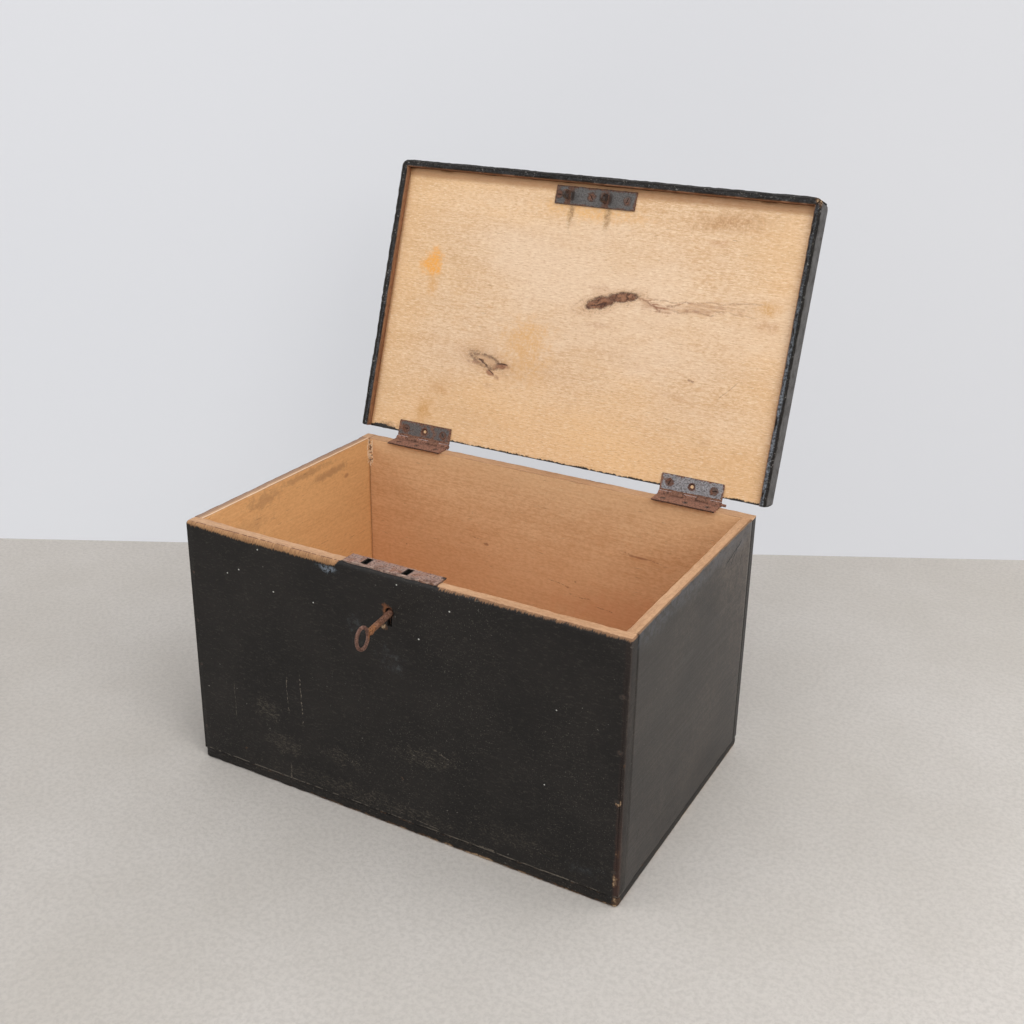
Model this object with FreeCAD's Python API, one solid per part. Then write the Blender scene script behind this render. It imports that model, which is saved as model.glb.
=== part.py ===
import FreeCAD, Part
import math
import os

# A small painted storage chest, with its lid leaning open and its key in the lock.
# X runs right along the front, Y to the back, Z up. The origin is on the floor, under the case's middle.
os.makedirs("parts", exist_ok=True)

Vector = FreeCAD.Vector
x_axis = Vector(1, 0, 0)
y_axis = Vector(0, 1, 0)
z_axis = Vector(0, 0, 1)

# The case: front and back boards cover the ends of the sides, and all four stand on the bottom board
case_width = 480.0
case_depth = 307.0
case_height = 270.0
front_thickness = 13.7
back_thickness = 13.5
side_thickness = 11.0
bottom_thickness = 11.0
rim_front_round = 3.5
rim_side_round = 1.2
upright_round = 1.5
bottom_corner_round = 5.0
bottom_edge_round = 2.0
cut_overrun = 5.0

# The lid: one wide board with a strip nailed to its front and side edges, which hangs down as a lip
lid_thickness = 17.0
lip_depth = 7.0
lip_thickness = 8.2
lip_clearance = 0.8
lip_top_round = 3.0
lip_end_round = 5.0
lid_back_setback = 3.7
lid_open_angle = 108.0

# Two butt hinges, screwed flat on the back rim and on the lid's inner face
hinge_length = 70.0
hinge_end_inset = 39.5
leaf_width = 21.4
leaf_thickness = 1.4
leaf_gap = 0.3
leaf_corner_round = 1.0
barrel_radius = 2.8
barrel_standoff = 0.4
pin_radius = 1.45
pin_clearance = 0.05
knuckle_count = 5
knuckle_gap = 0.3
right_pin_drift = 5.0
leaf_hole_setback = 12.2
leaf_hole_share = 0.714

# Countersunk wood screws, and the nails that hold the boards
screw_head_radius = 3.2
screw_head_height = 1.6
screw_radius = 1.6
screw_length = 11.5
screw_point_length = 3.0
screw_tip_share = 0.2
screw_sides = 12
screw_slot_width = 0.9
screw_slot_depth = 0.6
screw_turn_step = 55.0
nail_head_radius = 2.0
nail_head_thickness = 0.9
nail_sink = 0.4
nail_head_sides = 8
nail_shank_radius = 1.3
nail_length = 34.0
nail_tip_share = 0.25
lip_nail_length = 24.0
corner_nail_height_shares = (0.14, 0.415, 0.60, 0.80)
bottom_nail_x_shares = (-0.80, -0.27, 0.27, 0.80)
bottom_nail_y_shares = (-0.50, 0.50)
lip_nail_x_shares = (-0.85, -0.28, 0.28, 0.85)
lip_nail_y_shares = (0.10, 0.50, 0.88)

# The box lock, let into the front board from inside, with a folded top plate on the rim
lock_center_x = -1.9
lock_depth = 16.7
front_skin = 4.3
lock_clearance = 0.2
lock_end_clearance = 1.6
lock_case_height = 52.0
lock_plate_thickness = 1.6
cap_thickness = 1.2
cap_bend_radius = 1.8
ear_width = 10.0
ear_drop = 4.0
ear_screw_share = 0.34
selvedge_overhang = 3.2
selvedge_proud = 1.3
staple_spacing = 44.5
staple_center_shift = -7.35
slot_width = 6.0
slot_length = 11.6

# The bolt: a flat plate with two fingers that enter the staples' eyes
bolt_throw = 8.0
bolt_thickness = 2.6
bolt_height = 11.8
finger_height = 3.6
finger_tip_round = 0.9
finger_post_width = 5.0
finger_tip_gap = 1.6
finger_post_gap = 1.0
bolt_tail_length = 33.0
talon_depth = 2.6
talon_clearance = 0.4
stump_radius = 1.5
stump_clearance = 0.1
stump_head_radius = 2.4
stump_head_height = 0.7
stump_x_offsets_share = (-0.20, 0.34)
spring_thickness = 0.6
spring_width = 4.0
spring_foot_length = 2.5
spring_span = 15.0
spring_gap = 0.3
rivet_radius = 1.3
rivet_inset = 7.0

# The keyhole and the hollow-shanked key, which droops a little in its worn hole
keyhole_shift = 2.9
keyhole_drop = 37.0
keyhole_radius = 4.7
keyhole_slot_width = 5.0
keyhole_slot_drop = 14.0
key_droop = 8.0
key_rest_gap = 0.3
shank_radius = 3.25
key_bore_radius = 2.1
key_bore_depth = 12.0
key_tip_gap = 1.5
bit_radius = 12.5
bit_width = 4.6
bit_thickness = 3.0
bit_tip_setback = 1.6
ward_width = 1.5
ward_depth = 3.0
bow_reach = 42.5
bow_bar_radius = 1.75
bow_bar_sides = 8
bow_half_height = 10.8
bow_half_width = 8.4
bow_end_radius = 7.2
collar_radius = 3.9
collar_length = 2.4
drill_pin_radius = 1.1
drill_pin_reach = 7.5

# The link plate on the lid, with the two staples riveted through it
link_length = 96.0
link_shift = 1.9
link_width = 20.5
link_thickness = 1.6
link_corner_round = 1.2
link_screw_shares = (-0.91, -0.09, 0.79)
staple_thickness = 3.2
staple_width = 9.6
staple_length = 14.0
staple_eye_radius = 3.1
staple_eye_drop = 9.0
staple_tang_radius = 1.9

# Places that follow from the sizes above
side_face_x = case_width / 2
front_face_y = -case_depth / 2
back_face_y = case_depth / 2
front_inner_y = front_face_y + front_thickness
back_inner_y = back_face_y - back_thickness
side_inner_x = side_face_x - side_thickness
hinge_center_x = side_face_x - hinge_end_inset - hinge_length / 2
pivot_y = back_face_y + barrel_standoff + barrel_radius
pivot_z = case_height + leaf_thickness + leaf_gap / 2
lid_under_z = pivot_z + leaf_gap / 2 + leaf_thickness
lid_top_z = lid_under_z + lid_thickness
lip_bottom_z = lid_under_z - lip_depth
lid_board_x = side_face_x + lip_clearance
lid_board_front_y = front_face_y - lip_clearance
lid_back_y = back_face_y - lid_back_setback
lip_outer_x = lid_board_x + lip_thickness
lip_front_y = lid_board_front_y - lip_thickness
lock_front_y = front_face_y + front_skin + lock_clearance
lock_back_y = lock_front_y + lock_depth
lock_middle_y = (lock_front_y + lock_back_y) / 2
lock_inner_front_y = lock_front_y + lock_plate_thickness
lock_inner_back_y = lock_back_y - cap_thickness
selvedge_top_z = case_height + selvedge_proud
selvedge_under_z = selvedge_top_z - lock_plate_thickness
lock_bottom_z = selvedge_under_z - lock_case_height
staple_middle_x = lock_center_x + staple_center_shift
staple_xs = (staple_middle_x - staple_spacing / 2, staple_middle_x + staple_spacing / 2)
finger_roots = [x - staple_thickness / 2 - finger_post_gap - bolt_throw for x in staple_xs]
bolt_left_x = finger_roots[0] - finger_post_width
bolt_right_x = finger_roots[1] + bolt_tail_length
bolt_reach = max(lock_center_x - bolt_left_x, bolt_right_x + bolt_throw - lock_center_x)
lock_case_width = 2 * (bolt_reach + lock_end_clearance + cap_thickness)
selvedge_length = lock_case_width + 2 * selvedge_overhang
keyhole_x = lock_center_x + keyhole_shift
link_center_x = lock_center_x + link_shift
link_under_z = lid_under_z - link_thickness
eye_z = link_under_z - staple_eye_drop
keyhole_z = case_height - keyhole_drop


def block(low, high):
    """A straight box between two opposite corners."""
    size = high - low
    return Part.makeBox(size.x, size.y, size.z, low)


def prism(points, travel):
    """A flat outline, closed and pushed along a vector."""
    outline = Part.makePolygon(points + [points[0]])
    return Part.Face(outline).extrude(travel)


def rod(start, direction, radius, length):
    return Part.makeCylinder(radius, length, start, direction)


def aimed(shape, place, direction):
    """Turns a shape made along +Z to run along a direction, from a place."""
    turned = shape.copy()
    turned.Placement = FreeCAD.Placement(place, FreeCAD.Rotation(z_axis, direction))
    return turned


def near(a, b):
    return abs(a - b) < Part.Precision.confusion() * case_width


def edges_along(shape, axis, test):
    """The edges that run along an axis and whose two ends both pass a test."""
    chosen = []
    for edge in shape.Edges:
        run = edge.Vertexes[-1].Point - edge.Vertexes[0].Point
        straight = near(abs(run.dot(axis)), edge.Length)
        if straight and all(test(vertex.Point) for vertex in edge.Vertexes):
            chosen.append(edge)
    return chosen


def group(shapes):
    return Part.makeCompound(shapes)


def opened(shape):
    """Swings a piece of the closed lid back to where it leans."""
    swung = shape.copy()
    swung.rotate(Vector(0, pivot_y, pivot_z), x_axis, -lid_open_angle)
    return swung


def save(name, shape):
    shape.exportStep("parts/" + name + ".step")


def corner_ring(radius, sides, z):
    """The corners of a regular outline, on a circle round the Z axis."""
    corners = []
    for index in range(sides):
        angle = 2 * math.pi * index / sides
        corners.append(Vector(radius * math.cos(angle), radius * math.sin(angle), z))
    return corners


def faceted(rings):
    """A solid with flat sides from each ring of corners to the next, closed at both ends."""
    outlines = [rings[0], rings[-1]]
    for low, high in zip(rings, rings[1:]):
        for index in range(len(low)):
            outlines.append([low[index - 1], low[index], high[index], high[index - 1]])
    faces = [Part.Face(Part.makePolygon(corners + [corners[0]])) for corners in outlines]
    return Part.makeSolid(Part.makeShell(faces))


# A forged nail has a flat faceted head, punched just under the surface, and a square tapered shank
def nail(place, direction, length, head_z=nail_sink):
    neck_z = nail_sink + nail_head_thickness
    tip_radius = nail_shank_radius * nail_tip_share
    head = faceted([corner_ring(nail_head_radius, nail_head_sides, z) for z in (head_z, neck_z)])
    shank = faceted([corner_ring(nail_shank_radius, 4, neck_z), corner_ring(tip_radius, 4, length)])
    return aimed(head.fuse(shank), place, direction)


def nail_hole(place, direction, length):
    return nail(place, direction, length, 0)


# A wood screw has a countersunk head with a slot, a plain shank and a point
def screw_blank(length):
    steps = [
        (screw_head_radius, 0),
        (screw_radius, screw_head_height),
        (screw_radius, length - screw_point_length),
        (screw_radius * screw_tip_share, length),
    ]
    return faceted([corner_ring(radius, screw_sides, z) for radius, z in steps])


def screw(place, direction, length, slot_angle):
    slot = block(
        Vector(-screw_head_radius, -screw_slot_width / 2, 0),
        Vector(screw_head_radius, screw_slot_width / 2, screw_slot_depth),
    )
    slot.rotate(Vector(0, 0, 0), z_axis, slot_angle)
    return aimed(screw_blank(length).cut(slot), place, direction)


def screw_hole(place, direction, length):
    return aimed(screw_blank(length), place, direction)


def screw_set(spots):
    """One screw in each place, with its slot pointing another way than the last one's."""
    screws = []
    for index, (place, direction) in enumerate(spots):
        screws.append(screw(place, direction, screw_length, index * screw_turn_step))
    return group(screws)


def nail_set(spots, length):
    return group([nail(place, direction, length) for place, direction in spots])


# Where the nails and screws go, as a place and the direction in which each is driven
front_nail_spots = []
back_nail_spots = []
for side in (-1, 1):
    nail_x = side * (side_face_x - side_thickness / 2)
    for height_share in corner_nail_height_shares:
        nail_z = case_height * height_share
        front_nail_spots.append((Vector(nail_x, front_face_y, nail_z), y_axis))
        back_nail_spots.append((Vector(nail_x, back_face_y, nail_z), -y_axis))

bottom_nail_spots = []
for x_share in bottom_nail_x_shares:
    for nail_y in (front_face_y + front_thickness / 2, back_face_y - back_thickness / 2):
        bottom_nail_spots.append((Vector(side_face_x * x_share, nail_y, 0), z_axis))
for y_share in bottom_nail_y_shares:
    for side in (-1, 1):
        nail_x = side * (side_face_x - side_thickness / 2)
        bottom_nail_spots.append((Vector(nail_x, case_depth / 2 * y_share, 0), z_axis))

lip_nail_z = lid_under_z + lid_thickness / 2
front_lip_spots = []
for x_share in lip_nail_x_shares:
    front_lip_spots.append((Vector(lid_board_x * x_share, lip_front_y, lip_nail_z), y_axis))
side_lip_spots = {-1: [], 1: []}
for side in (-1, 1):
    for y_share in lip_nail_y_shares:
        nail_y = lid_board_front_y + (lid_back_y - lid_board_front_y) * y_share
        side_lip_spots[side].append((Vector(side * lip_outer_x, nail_y, lip_nail_z), -side * x_axis))

leaf_hole_y = pivot_y - leaf_hole_setback
leaf_hole_offset = hinge_length / 2 * leaf_hole_share
lid_leaf_z = pivot_z + leaf_gap / 2
box_leaf_z = pivot_z - leaf_gap / 2
lid_screw_spots = []
box_screw_spots = []
for side in (-1, 1):
    for step in (-1, 1):
        screw_x = side * hinge_center_x + step * leaf_hole_offset
        lid_screw_spots.append((Vector(screw_x, leaf_hole_y, lid_leaf_z), z_axis))
    for step in (-1, 0, 1):
        screw_x = side * hinge_center_x + step * leaf_hole_offset
        box_screw_spots.append((Vector(screw_x, leaf_hole_y, box_leaf_z), -z_axis))

link_screw_spots = []
for share in link_screw_shares:
    screw_x = link_center_x + link_length / 2 * share
    link_screw_spots.append((Vector(screw_x, lock_middle_y, link_under_z), z_axis))

lock_screw_spots = []
ear_outer = lock_case_width / 2 + ear_width
ear_middle_z = (lock_bottom_z + case_height - ear_drop) / 2
ear_height = case_height - ear_drop - lock_bottom_z
for side in (-1, 1):
    for step in (-1, 1):
        screw_x = lock_center_x + side * (ear_outer - ear_width / 2)
        screw_z = ear_middle_z + step * ear_height * ear_screw_share
        lock_screw_spots.append((Vector(screw_x, front_inner_y + cap_thickness, screw_z), -y_axis))


def nail_holes(spots, length):
    return group([nail_hole(place, direction, length) for place, direction in spots])


def screw_holes(spots, length):
    return group([screw_hole(place, direction, length) for place, direction in spots])


def keyhole(front_y, back_y):
    """A round hole for the shank and a slot under it for the bit."""
    depth = back_y - front_y
    hole = rod(Vector(keyhole_x, front_y, keyhole_z), y_axis, keyhole_radius, depth)
    slot = block(
        Vector(keyhole_x - keyhole_slot_width / 2, front_y, keyhole_z - keyhole_slot_drop),
        Vector(keyhole_x + keyhole_slot_width / 2, back_y, keyhole_z),
    )
    return hole.fuse(slot)


# The front board: rounded where hands have worn the rim, cut out behind for the lock
def front_board():
    board = block(
        Vector(-side_face_x, front_face_y, bottom_thickness),
        Vector(side_face_x, front_inner_y, case_height),
    )
    rim = edges_along(board, x_axis, lambda p: near(p.y, front_face_y) and near(p.z, case_height))
    board = board.makeFillet(rim_front_round, rim)
    uprights = edges_along(board, z_axis, lambda p: near(p.y, front_face_y))
    board = board.makeFillet(upright_round, uprights)
    half_case = lock_case_width / 2 + lock_clearance
    mortise = block(
        Vector(lock_center_x - half_case, front_face_y + front_skin, lock_bottom_z - lock_clearance),
        Vector(lock_center_x + half_case, front_inner_y + cut_overrun, case_height + cut_overrun),
    )
    half_selvedge = selvedge_length / 2 + lock_clearance
    recess = block(
        Vector(lock_center_x - half_selvedge, front_face_y + front_skin, selvedge_under_z),
        Vector(lock_center_x + half_selvedge, front_inner_y + cut_overrun, case_height + cut_overrun),
    )
    board = board.cut(mortise).cut(recess)
    board = board.cut(keyhole(front_face_y - cut_overrun, front_inner_y))
    board = board.cut(nail_holes(front_nail_spots, nail_length))
    board = board.cut(nail_holes(bottom_nail_spots, nail_length))
    return board.cut(screw_holes(lock_screw_spots, screw_length))


def back_board():
    board = block(
        Vector(-side_face_x, back_inner_y, bottom_thickness),
        Vector(side_face_x, back_face_y, case_height),
    )
    uprights = edges_along(board, z_axis, lambda p: near(p.y, back_face_y))
    board = board.makeFillet(upright_round, uprights)
    board = board.cut(nail_holes(back_nail_spots, nail_length))
    board = board.cut(nail_holes(bottom_nail_spots, nail_length))
    return board.cut(screw_holes(box_screw_spots, screw_length))


def side_board(side):
    inner_x = side * side_inner_x
    outer_x = side * side_face_x
    board = block(
        Vector(min(inner_x, outer_x), front_inner_y, bottom_thickness),
        Vector(max(inner_x, outer_x), back_inner_y, case_height),
    )
    rim = edges_along(board, y_axis, lambda p: near(p.x, outer_x) and near(p.z, case_height))
    board = board.makeFillet(rim_side_round, rim)
    board = board.cut(nail_holes(front_nail_spots, nail_length))
    board = board.cut(nail_holes(back_nail_spots, nail_length))
    return board.cut(nail_holes(bottom_nail_spots, nail_length))


# The bottom board lies under all four sides, and its corners and lower edges are the most worn
def bottom_board():
    board = block(
        Vector(-side_face_x, front_face_y, 0),
        Vector(side_face_x, back_face_y, bottom_thickness),
    )
    corners = edges_along(board, z_axis, lambda p: True)
    board = board.makeFillet(bottom_corner_round, corners)
    lower = [edge for edge in board.Edges if all(near(v.Point.z, 0) for v in edge.Vertexes)]
    board = board.makeFillet(bottom_edge_round, lower)
    return board.cut(nail_holes(bottom_nail_spots, nail_length))


def lid_board():
    board = block(
        Vector(-lid_board_x, lid_board_front_y, lid_under_z),
        Vector(lid_board_x, lid_back_y, lid_top_z),
    )
    for side in (-1, 1):
        board = board.cut(nail_holes(side_lip_spots[side], lip_nail_length))
    board = board.cut(nail_holes(front_lip_spots, lip_nail_length))
    board = board.cut(screw_holes(lid_screw_spots, screw_length))
    return board.cut(screw_holes(link_screw_spots, screw_length))


# The lip strips meet in mitres at the two front corners and stop square at the back
def front_lip():
    outline = [
        Vector(-lip_outer_x, lip_front_y, lip_bottom_z),
        Vector(lip_outer_x, lip_front_y, lip_bottom_z),
        Vector(lid_board_x, lid_board_front_y, lip_bottom_z),
        Vector(-lid_board_x, lid_board_front_y, lip_bottom_z),
    ]
    strip = prism(outline, Vector(0, 0, lid_top_z - lip_bottom_z))
    top = edges_along(strip, x_axis, lambda p: near(p.y, lip_front_y) and near(p.z, lid_top_z))
    strip = strip.makeFillet(lip_top_round, top)
    return strip.cut(nail_holes(front_lip_spots, lip_nail_length))


def side_lip(side):
    outline = [
        Vector(side * lip_outer_x, lip_front_y, lip_bottom_z),
        Vector(side * lip_outer_x, lid_back_y, lip_bottom_z),
        Vector(side * lid_board_x, lid_back_y, lip_bottom_z),
        Vector(side * lid_board_x, lid_board_front_y, lip_bottom_z),
    ]
    strip = prism(outline, Vector(0, 0, lid_top_z - lip_bottom_z))
    back_top = edges_along(strip, x_axis, lambda p: near(p.y, lid_back_y) and near(p.z, lid_top_z))
    strip = strip.makeFillet(lip_end_round, back_top)
    top = edges_along(strip, y_axis, lambda p: near(abs(p.x), lip_outer_x) and near(p.z, lid_top_z))
    strip = strip.makeFillet(lip_top_round, top)
    return strip.cut(nail_holes(side_lip_spots[side], lip_nail_length))


# A hinge leaf is a flat plate whose back edge is rolled into every other knuckle of the barrel
def hinge_leaf(side, level, knuckles, screw_direction):
    left_x = side * hinge_center_x - hinge_length / 2
    right_x = side * hinge_center_x + hinge_length / 2
    plate_end_y = pivot_y - barrel_radius - knuckle_gap
    low_z = min(level, level + leaf_thickness * screw_direction.z)
    high_z = low_z + leaf_thickness
    plate = block(
        Vector(left_x, pivot_y - leaf_width, low_z),
        Vector(right_x, plate_end_y, high_z),
    )
    tips = edges_along(plate, z_axis, lambda p: near(p.y, pivot_y - leaf_width))
    plate = plate.makeFillet(leaf_corner_round, tips)
    knuckle_length = (hinge_length - knuckle_gap * (knuckle_count - 1)) / knuckle_count
    for index in knuckles:
        start_x = left_x + index * (knuckle_length + knuckle_gap)
        roll = rod(Vector(start_x, pivot_y, pivot_z), x_axis, barrel_radius, knuckle_length)
        web = block(
            Vector(start_x, plate_end_y, low_z),
            Vector(start_x + knuckle_length, pivot_y, high_z),
        )
        plate = plate.fuse(web).fuse(roll)
    bore = rod(
        Vector(left_x - cut_overrun, pivot_y, pivot_z),
        x_axis,
        pin_radius + pin_clearance,
        hinge_length + 2 * cut_overrun,
    )
    holes = []
    for step in (-1, 0, 1):
        hole_x = side * hinge_center_x + step * leaf_hole_offset
        holes.append(screw_hole(Vector(hole_x, leaf_hole_y, level), screw_direction, screw_length))
    return plate.cut(bore).cut(group(holes)).removeSplitter()


def hinge_pin(side, drift):
    left_x = side * hinge_center_x - hinge_length / 2 + drift
    return rod(Vector(left_x, pivot_y, pivot_z), x_axis, pin_radius, hinge_length)


# The staples: flat tongues with an eye across them, each riveted through the link plate
def staple_tang(x):
    return rod(Vector(x, lock_middle_y, link_under_z), z_axis, staple_tang_radius, link_thickness)


def staple(x):
    half_thickness = staple_thickness / 2
    half_width = staple_width / 2
    round_z = link_under_z - staple_length + half_width
    tongue = block(
        Vector(x - half_thickness, lock_middle_y - half_width, round_z),
        Vector(x + half_thickness, lock_middle_y + half_width, link_under_z),
    )
    tip = rod(Vector(x - half_thickness, lock_middle_y, round_z), x_axis, half_width, staple_thickness)
    eye = rod(
        Vector(x - half_thickness - cut_overrun, lock_middle_y, eye_z),
        x_axis,
        staple_eye_radius,
        staple_thickness + 2 * cut_overrun,
    )
    return tongue.fuse(tip).cut(eye).fuse(staple_tang(x)).removeSplitter()


def link_plate():
    plate = block(
        Vector(link_center_x - link_length / 2, lock_middle_y - link_width / 2, link_under_z),
        Vector(link_center_x + link_length / 2, lock_middle_y + link_width / 2, lid_under_z),
    )
    corners = edges_along(plate, z_axis, lambda p: True)
    plate = plate.makeFillet(link_corner_round, corners)
    plate = plate.cut(group([staple_tang(x) for x in staple_xs]))
    return plate.cut(screw_holes(link_screw_spots, screw_length))


# The lock's plate is one folded strip: the selvedge on the rim and the upright that hides in the wood
def stump_places():
    return [Vector(lock_center_x + lock_case_width * share, 0, stump_z) for share in stump_x_offsets_share]


def rivet_places():
    inset_x = lock_case_width / 2 - rivet_inset
    rivet_z = lock_bottom_z + rivet_inset
    return [Vector(lock_center_x - inset_x, 0, rivet_z), Vector(lock_center_x + inset_x, 0, rivet_z)]


def lock_plate():
    selvedge = block(
        Vector(lock_center_x - selvedge_length / 2, lock_front_y, selvedge_under_z),
        Vector(lock_center_x + selvedge_length / 2, lock_back_y, selvedge_top_z),
    )
    upright = block(
        Vector(lock_center_x - lock_case_width / 2, lock_front_y, lock_bottom_z),
        Vector(lock_center_x + lock_case_width / 2, lock_inner_front_y, selvedge_under_z),
    )
    plate = selvedge.fuse(upright)
    for x in staple_xs:
        slot = block(
            Vector(x - slot_width / 2, lock_middle_y - slot_length / 2, selvedge_under_z - cut_overrun),
            Vector(x + slot_width / 2, lock_middle_y + slot_length / 2, selvedge_top_z + cut_overrun),
        )
        plate = plate.cut(slot)
    plate = plate.cut(keyhole(lock_front_y - cut_overrun, lock_inner_front_y + cut_overrun))
    for place in stump_places():
        plate = plate.cut(rod(place + y_axis * lock_front_y, y_axis, stump_radius, lock_depth))
    for place in rivet_places():
        plate = plate.cut(rod(place + y_axis * lock_front_y, y_axis, rivet_radius, lock_depth))
    return plate


# The cap is a folded tray that closes the lock on the inside, with an ear to screw down each side
def lock_cap():
    half = lock_case_width / 2
    left = lock_center_x - half
    right = lock_center_x + half
    tray = block(
        Vector(left, lock_inner_front_y, lock_bottom_z),
        Vector(right, lock_back_y, selvedge_under_z),
    )
    bends = edges_along(tray, z_axis, lambda p: near(p.y, lock_back_y))
    tray = tray.makeFillet(cap_bend_radius, bends)
    hollow = block(
        Vector(left + cap_thickness, lock_inner_front_y - cut_overrun, lock_bottom_z + cap_thickness),
        Vector(right - cap_thickness, lock_inner_back_y, selvedge_under_z + cut_overrun),
    )
    tray = tray.cut(hollow)
    for side in (-1, 1):
        inner_x = lock_center_x + side * (half - cap_thickness / 2)
        outer_x = lock_center_x + side * ear_outer
        ear = block(
            Vector(min(inner_x, outer_x), front_inner_y, lock_bottom_z),
            Vector(max(inner_x, outer_x), front_inner_y + cap_thickness, case_height - ear_drop),
        )
        tray = tray.fuse(ear)
    tray = tray.cut(screw_holes(lock_screw_spots, screw_length))
    for place in stump_places():
        tray = tray.cut(rod(place + y_axis * lock_front_y, y_axis, stump_radius, lock_depth))
    for place in rivet_places():
        tray = tray.cut(rod(place + y_axis * lock_front_y, y_axis, rivet_radius, lock_depth))
    pin_hole = rod(drill_pin_start, -y_axis, drill_pin_radius, cap_thickness)
    return tray.cut(pin_hole).removeSplitter()


# Rivets run right through the lock, with a low head on the inside of the chest
def riveted_rod(place, radius):
    shaft = rod(place + y_axis * lock_front_y, y_axis, radius, lock_depth)
    head = rod(place + y_axis * lock_back_y, y_axis, stump_head_radius, stump_head_height)
    return shaft.fuse(head)


def drill_pin():
    shaft = rod(drill_pin_start, -y_axis, drill_pin_radius, cap_thickness + drill_pin_reach)
    head = rod(drill_pin_start, y_axis, stump_head_radius, stump_head_height)
    return shaft.fuse(head)


# The bolt slides along X on the two stumps, and the key's bit turns in the talon under it
def lock_bolt():
    low_y = lock_middle_y - bolt_thickness / 2
    high_y = lock_middle_y + bolt_thickness / 2
    bolt = block(Vector(bolt_left_x, low_y, bolt_low_z), Vector(bolt_right_x, high_y, bolt_top_z))
    finger_low_z = eye_z - finger_height / 2
    finger_top_z = eye_z + finger_height / 2
    for x, root_x in zip(staple_xs, finger_roots):
        tip_x = x - staple_thickness / 2 - finger_tip_gap
        post = block(
            Vector(root_x - finger_post_width, low_y, bolt_low_z),
            Vector(root_x, high_y, finger_top_z),
        )
        prong = block(
            Vector(root_x, low_y, finger_low_z),
            Vector(tip_x, high_y, finger_top_z),
        )
        end = edges_along(prong, y_axis, lambda p: near(p.x, tip_x))
        prong = prong.makeFillet(finger_tip_round, end)
        bolt = bolt.fuse(post).fuse(prong)
    talon_x = keyhole_x - bolt_throw / 2
    talon = block(
        Vector(talon_x - talon_half_width, low_y - cut_overrun, bolt_low_z - cut_overrun),
        Vector(talon_x + talon_half_width, high_y + cut_overrun, bolt_low_z + talon_depth),
    )
    bolt = bolt.cut(talon)
    track_radius = stump_radius + stump_clearance
    for place in stump_places():
        start = place + y_axis * (low_y - cut_overrun)
        thickness = bolt_thickness + 2 * cut_overrun
        near_end = rod(start, y_axis, track_radius, thickness)
        far_end = rod(start - x_axis * bolt_throw, y_axis, track_radius, thickness)
        track = block(
            Vector(place.x - bolt_throw, low_y - cut_overrun, place.z - track_radius),
            Vector(place.x, high_y + cut_overrun, place.z + track_radius),
        )
        bolt = bolt.cut(near_end.fuse(far_end).fuse(track))
    return bolt.removeSplitter()


# A bowed spring under the selvedge presses on the bolt's tail and keeps it from sliding by itself
def bolt_spring():
    low_y = lock_middle_y - spring_width / 2
    finger_reach_x = staple_xs[1] - staple_thickness / 2 - finger_tip_gap + bolt_throw
    left_x = finger_reach_x + finger_tip_gap + spring_foot_length
    right_x = left_x + spring_span
    belly_x = (left_x + right_x) / 2
    top_z = selvedge_under_z
    belly_z = bolt_top_z + spring_gap
    foot_z = top_z - spring_thickness
    outer = Part.Arc(
        Vector(left_x, low_y, foot_z),
        Vector(belly_x, low_y, belly_z),
        Vector(right_x, low_y, foot_z),
    ).toShape()
    inner = Part.Arc(
        Vector(right_x - spring_thickness, low_y, foot_z),
        Vector(belly_x, low_y, belly_z + spring_thickness),
        Vector(left_x + spring_thickness, low_y, foot_z),
    ).toShape()
    right_end = Part.makePolygon([
        Vector(right_x, low_y, foot_z),
        Vector(right_x + spring_foot_length, low_y, foot_z),
        Vector(right_x + spring_foot_length, low_y, top_z),
        Vector(right_x - spring_thickness, low_y, top_z),
        Vector(right_x - spring_thickness, low_y, foot_z),
    ])
    left_end = Part.makePolygon([
        Vector(left_x + spring_thickness, low_y, foot_z),
        Vector(left_x + spring_thickness, low_y, top_z),
        Vector(left_x - spring_foot_length, low_y, top_z),
        Vector(left_x - spring_foot_length, low_y, foot_z),
        Vector(left_x, low_y, foot_z),
    ])
    outline = Part.Wire([outer] + right_end.Edges + [inner] + left_end.Edges)
    return Part.Face(outline).extrude(y_axis * spring_width)


# The bow is an oval ring of bar forged nearly round, bent in four arcs that run into each other
def bent_bar(center, bend_radius, start_angle, sweep):
    """Bar bent about a center in the YZ plane, with angles in degrees from Y towards Z."""
    corners = corner_ring(bow_bar_radius, bow_bar_sides, 0)
    section = Part.Face(Part.makePolygon(corners + [corners[0]]))
    section.rotate(Vector(0, 0, 0), z_axis, 180 / bow_bar_sides)
    section.translate(Vector(0, bend_radius, 0))
    section.rotate(Vector(0, 0, 0), x_axis, start_angle)
    bar = section.revolve(Vector(0, 0, 0), x_axis, sweep)
    bar.translate(center)
    return bar


def bow_ring(middle):
    rise = bow_half_height - bow_end_radius
    slack = bow_half_width - bow_end_radius
    side_radius = (bow_half_width ** 2 - bow_end_radius ** 2 + rise ** 2) / (2 * slack)
    side_reach = Vector(0, side_radius - bow_half_width, 0)
    end_reach = Vector(0, 0, rise)
    turn = math.degrees(math.atan2(rise, side_reach.y))
    near_side = bent_bar(middle - side_reach, side_radius, -turn, 2 * turn)
    top = bent_bar(middle + end_reach, bow_end_radius, turn, 180 - 2 * turn)
    far_side = bent_bar(middle + side_reach, side_radius, 180 - turn, 2 * turn)
    foot = bent_bar(middle - end_reach, bow_end_radius, 180 + turn, 180 - 2 * turn)
    return near_side.fuse([top, far_side, foot])


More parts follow.
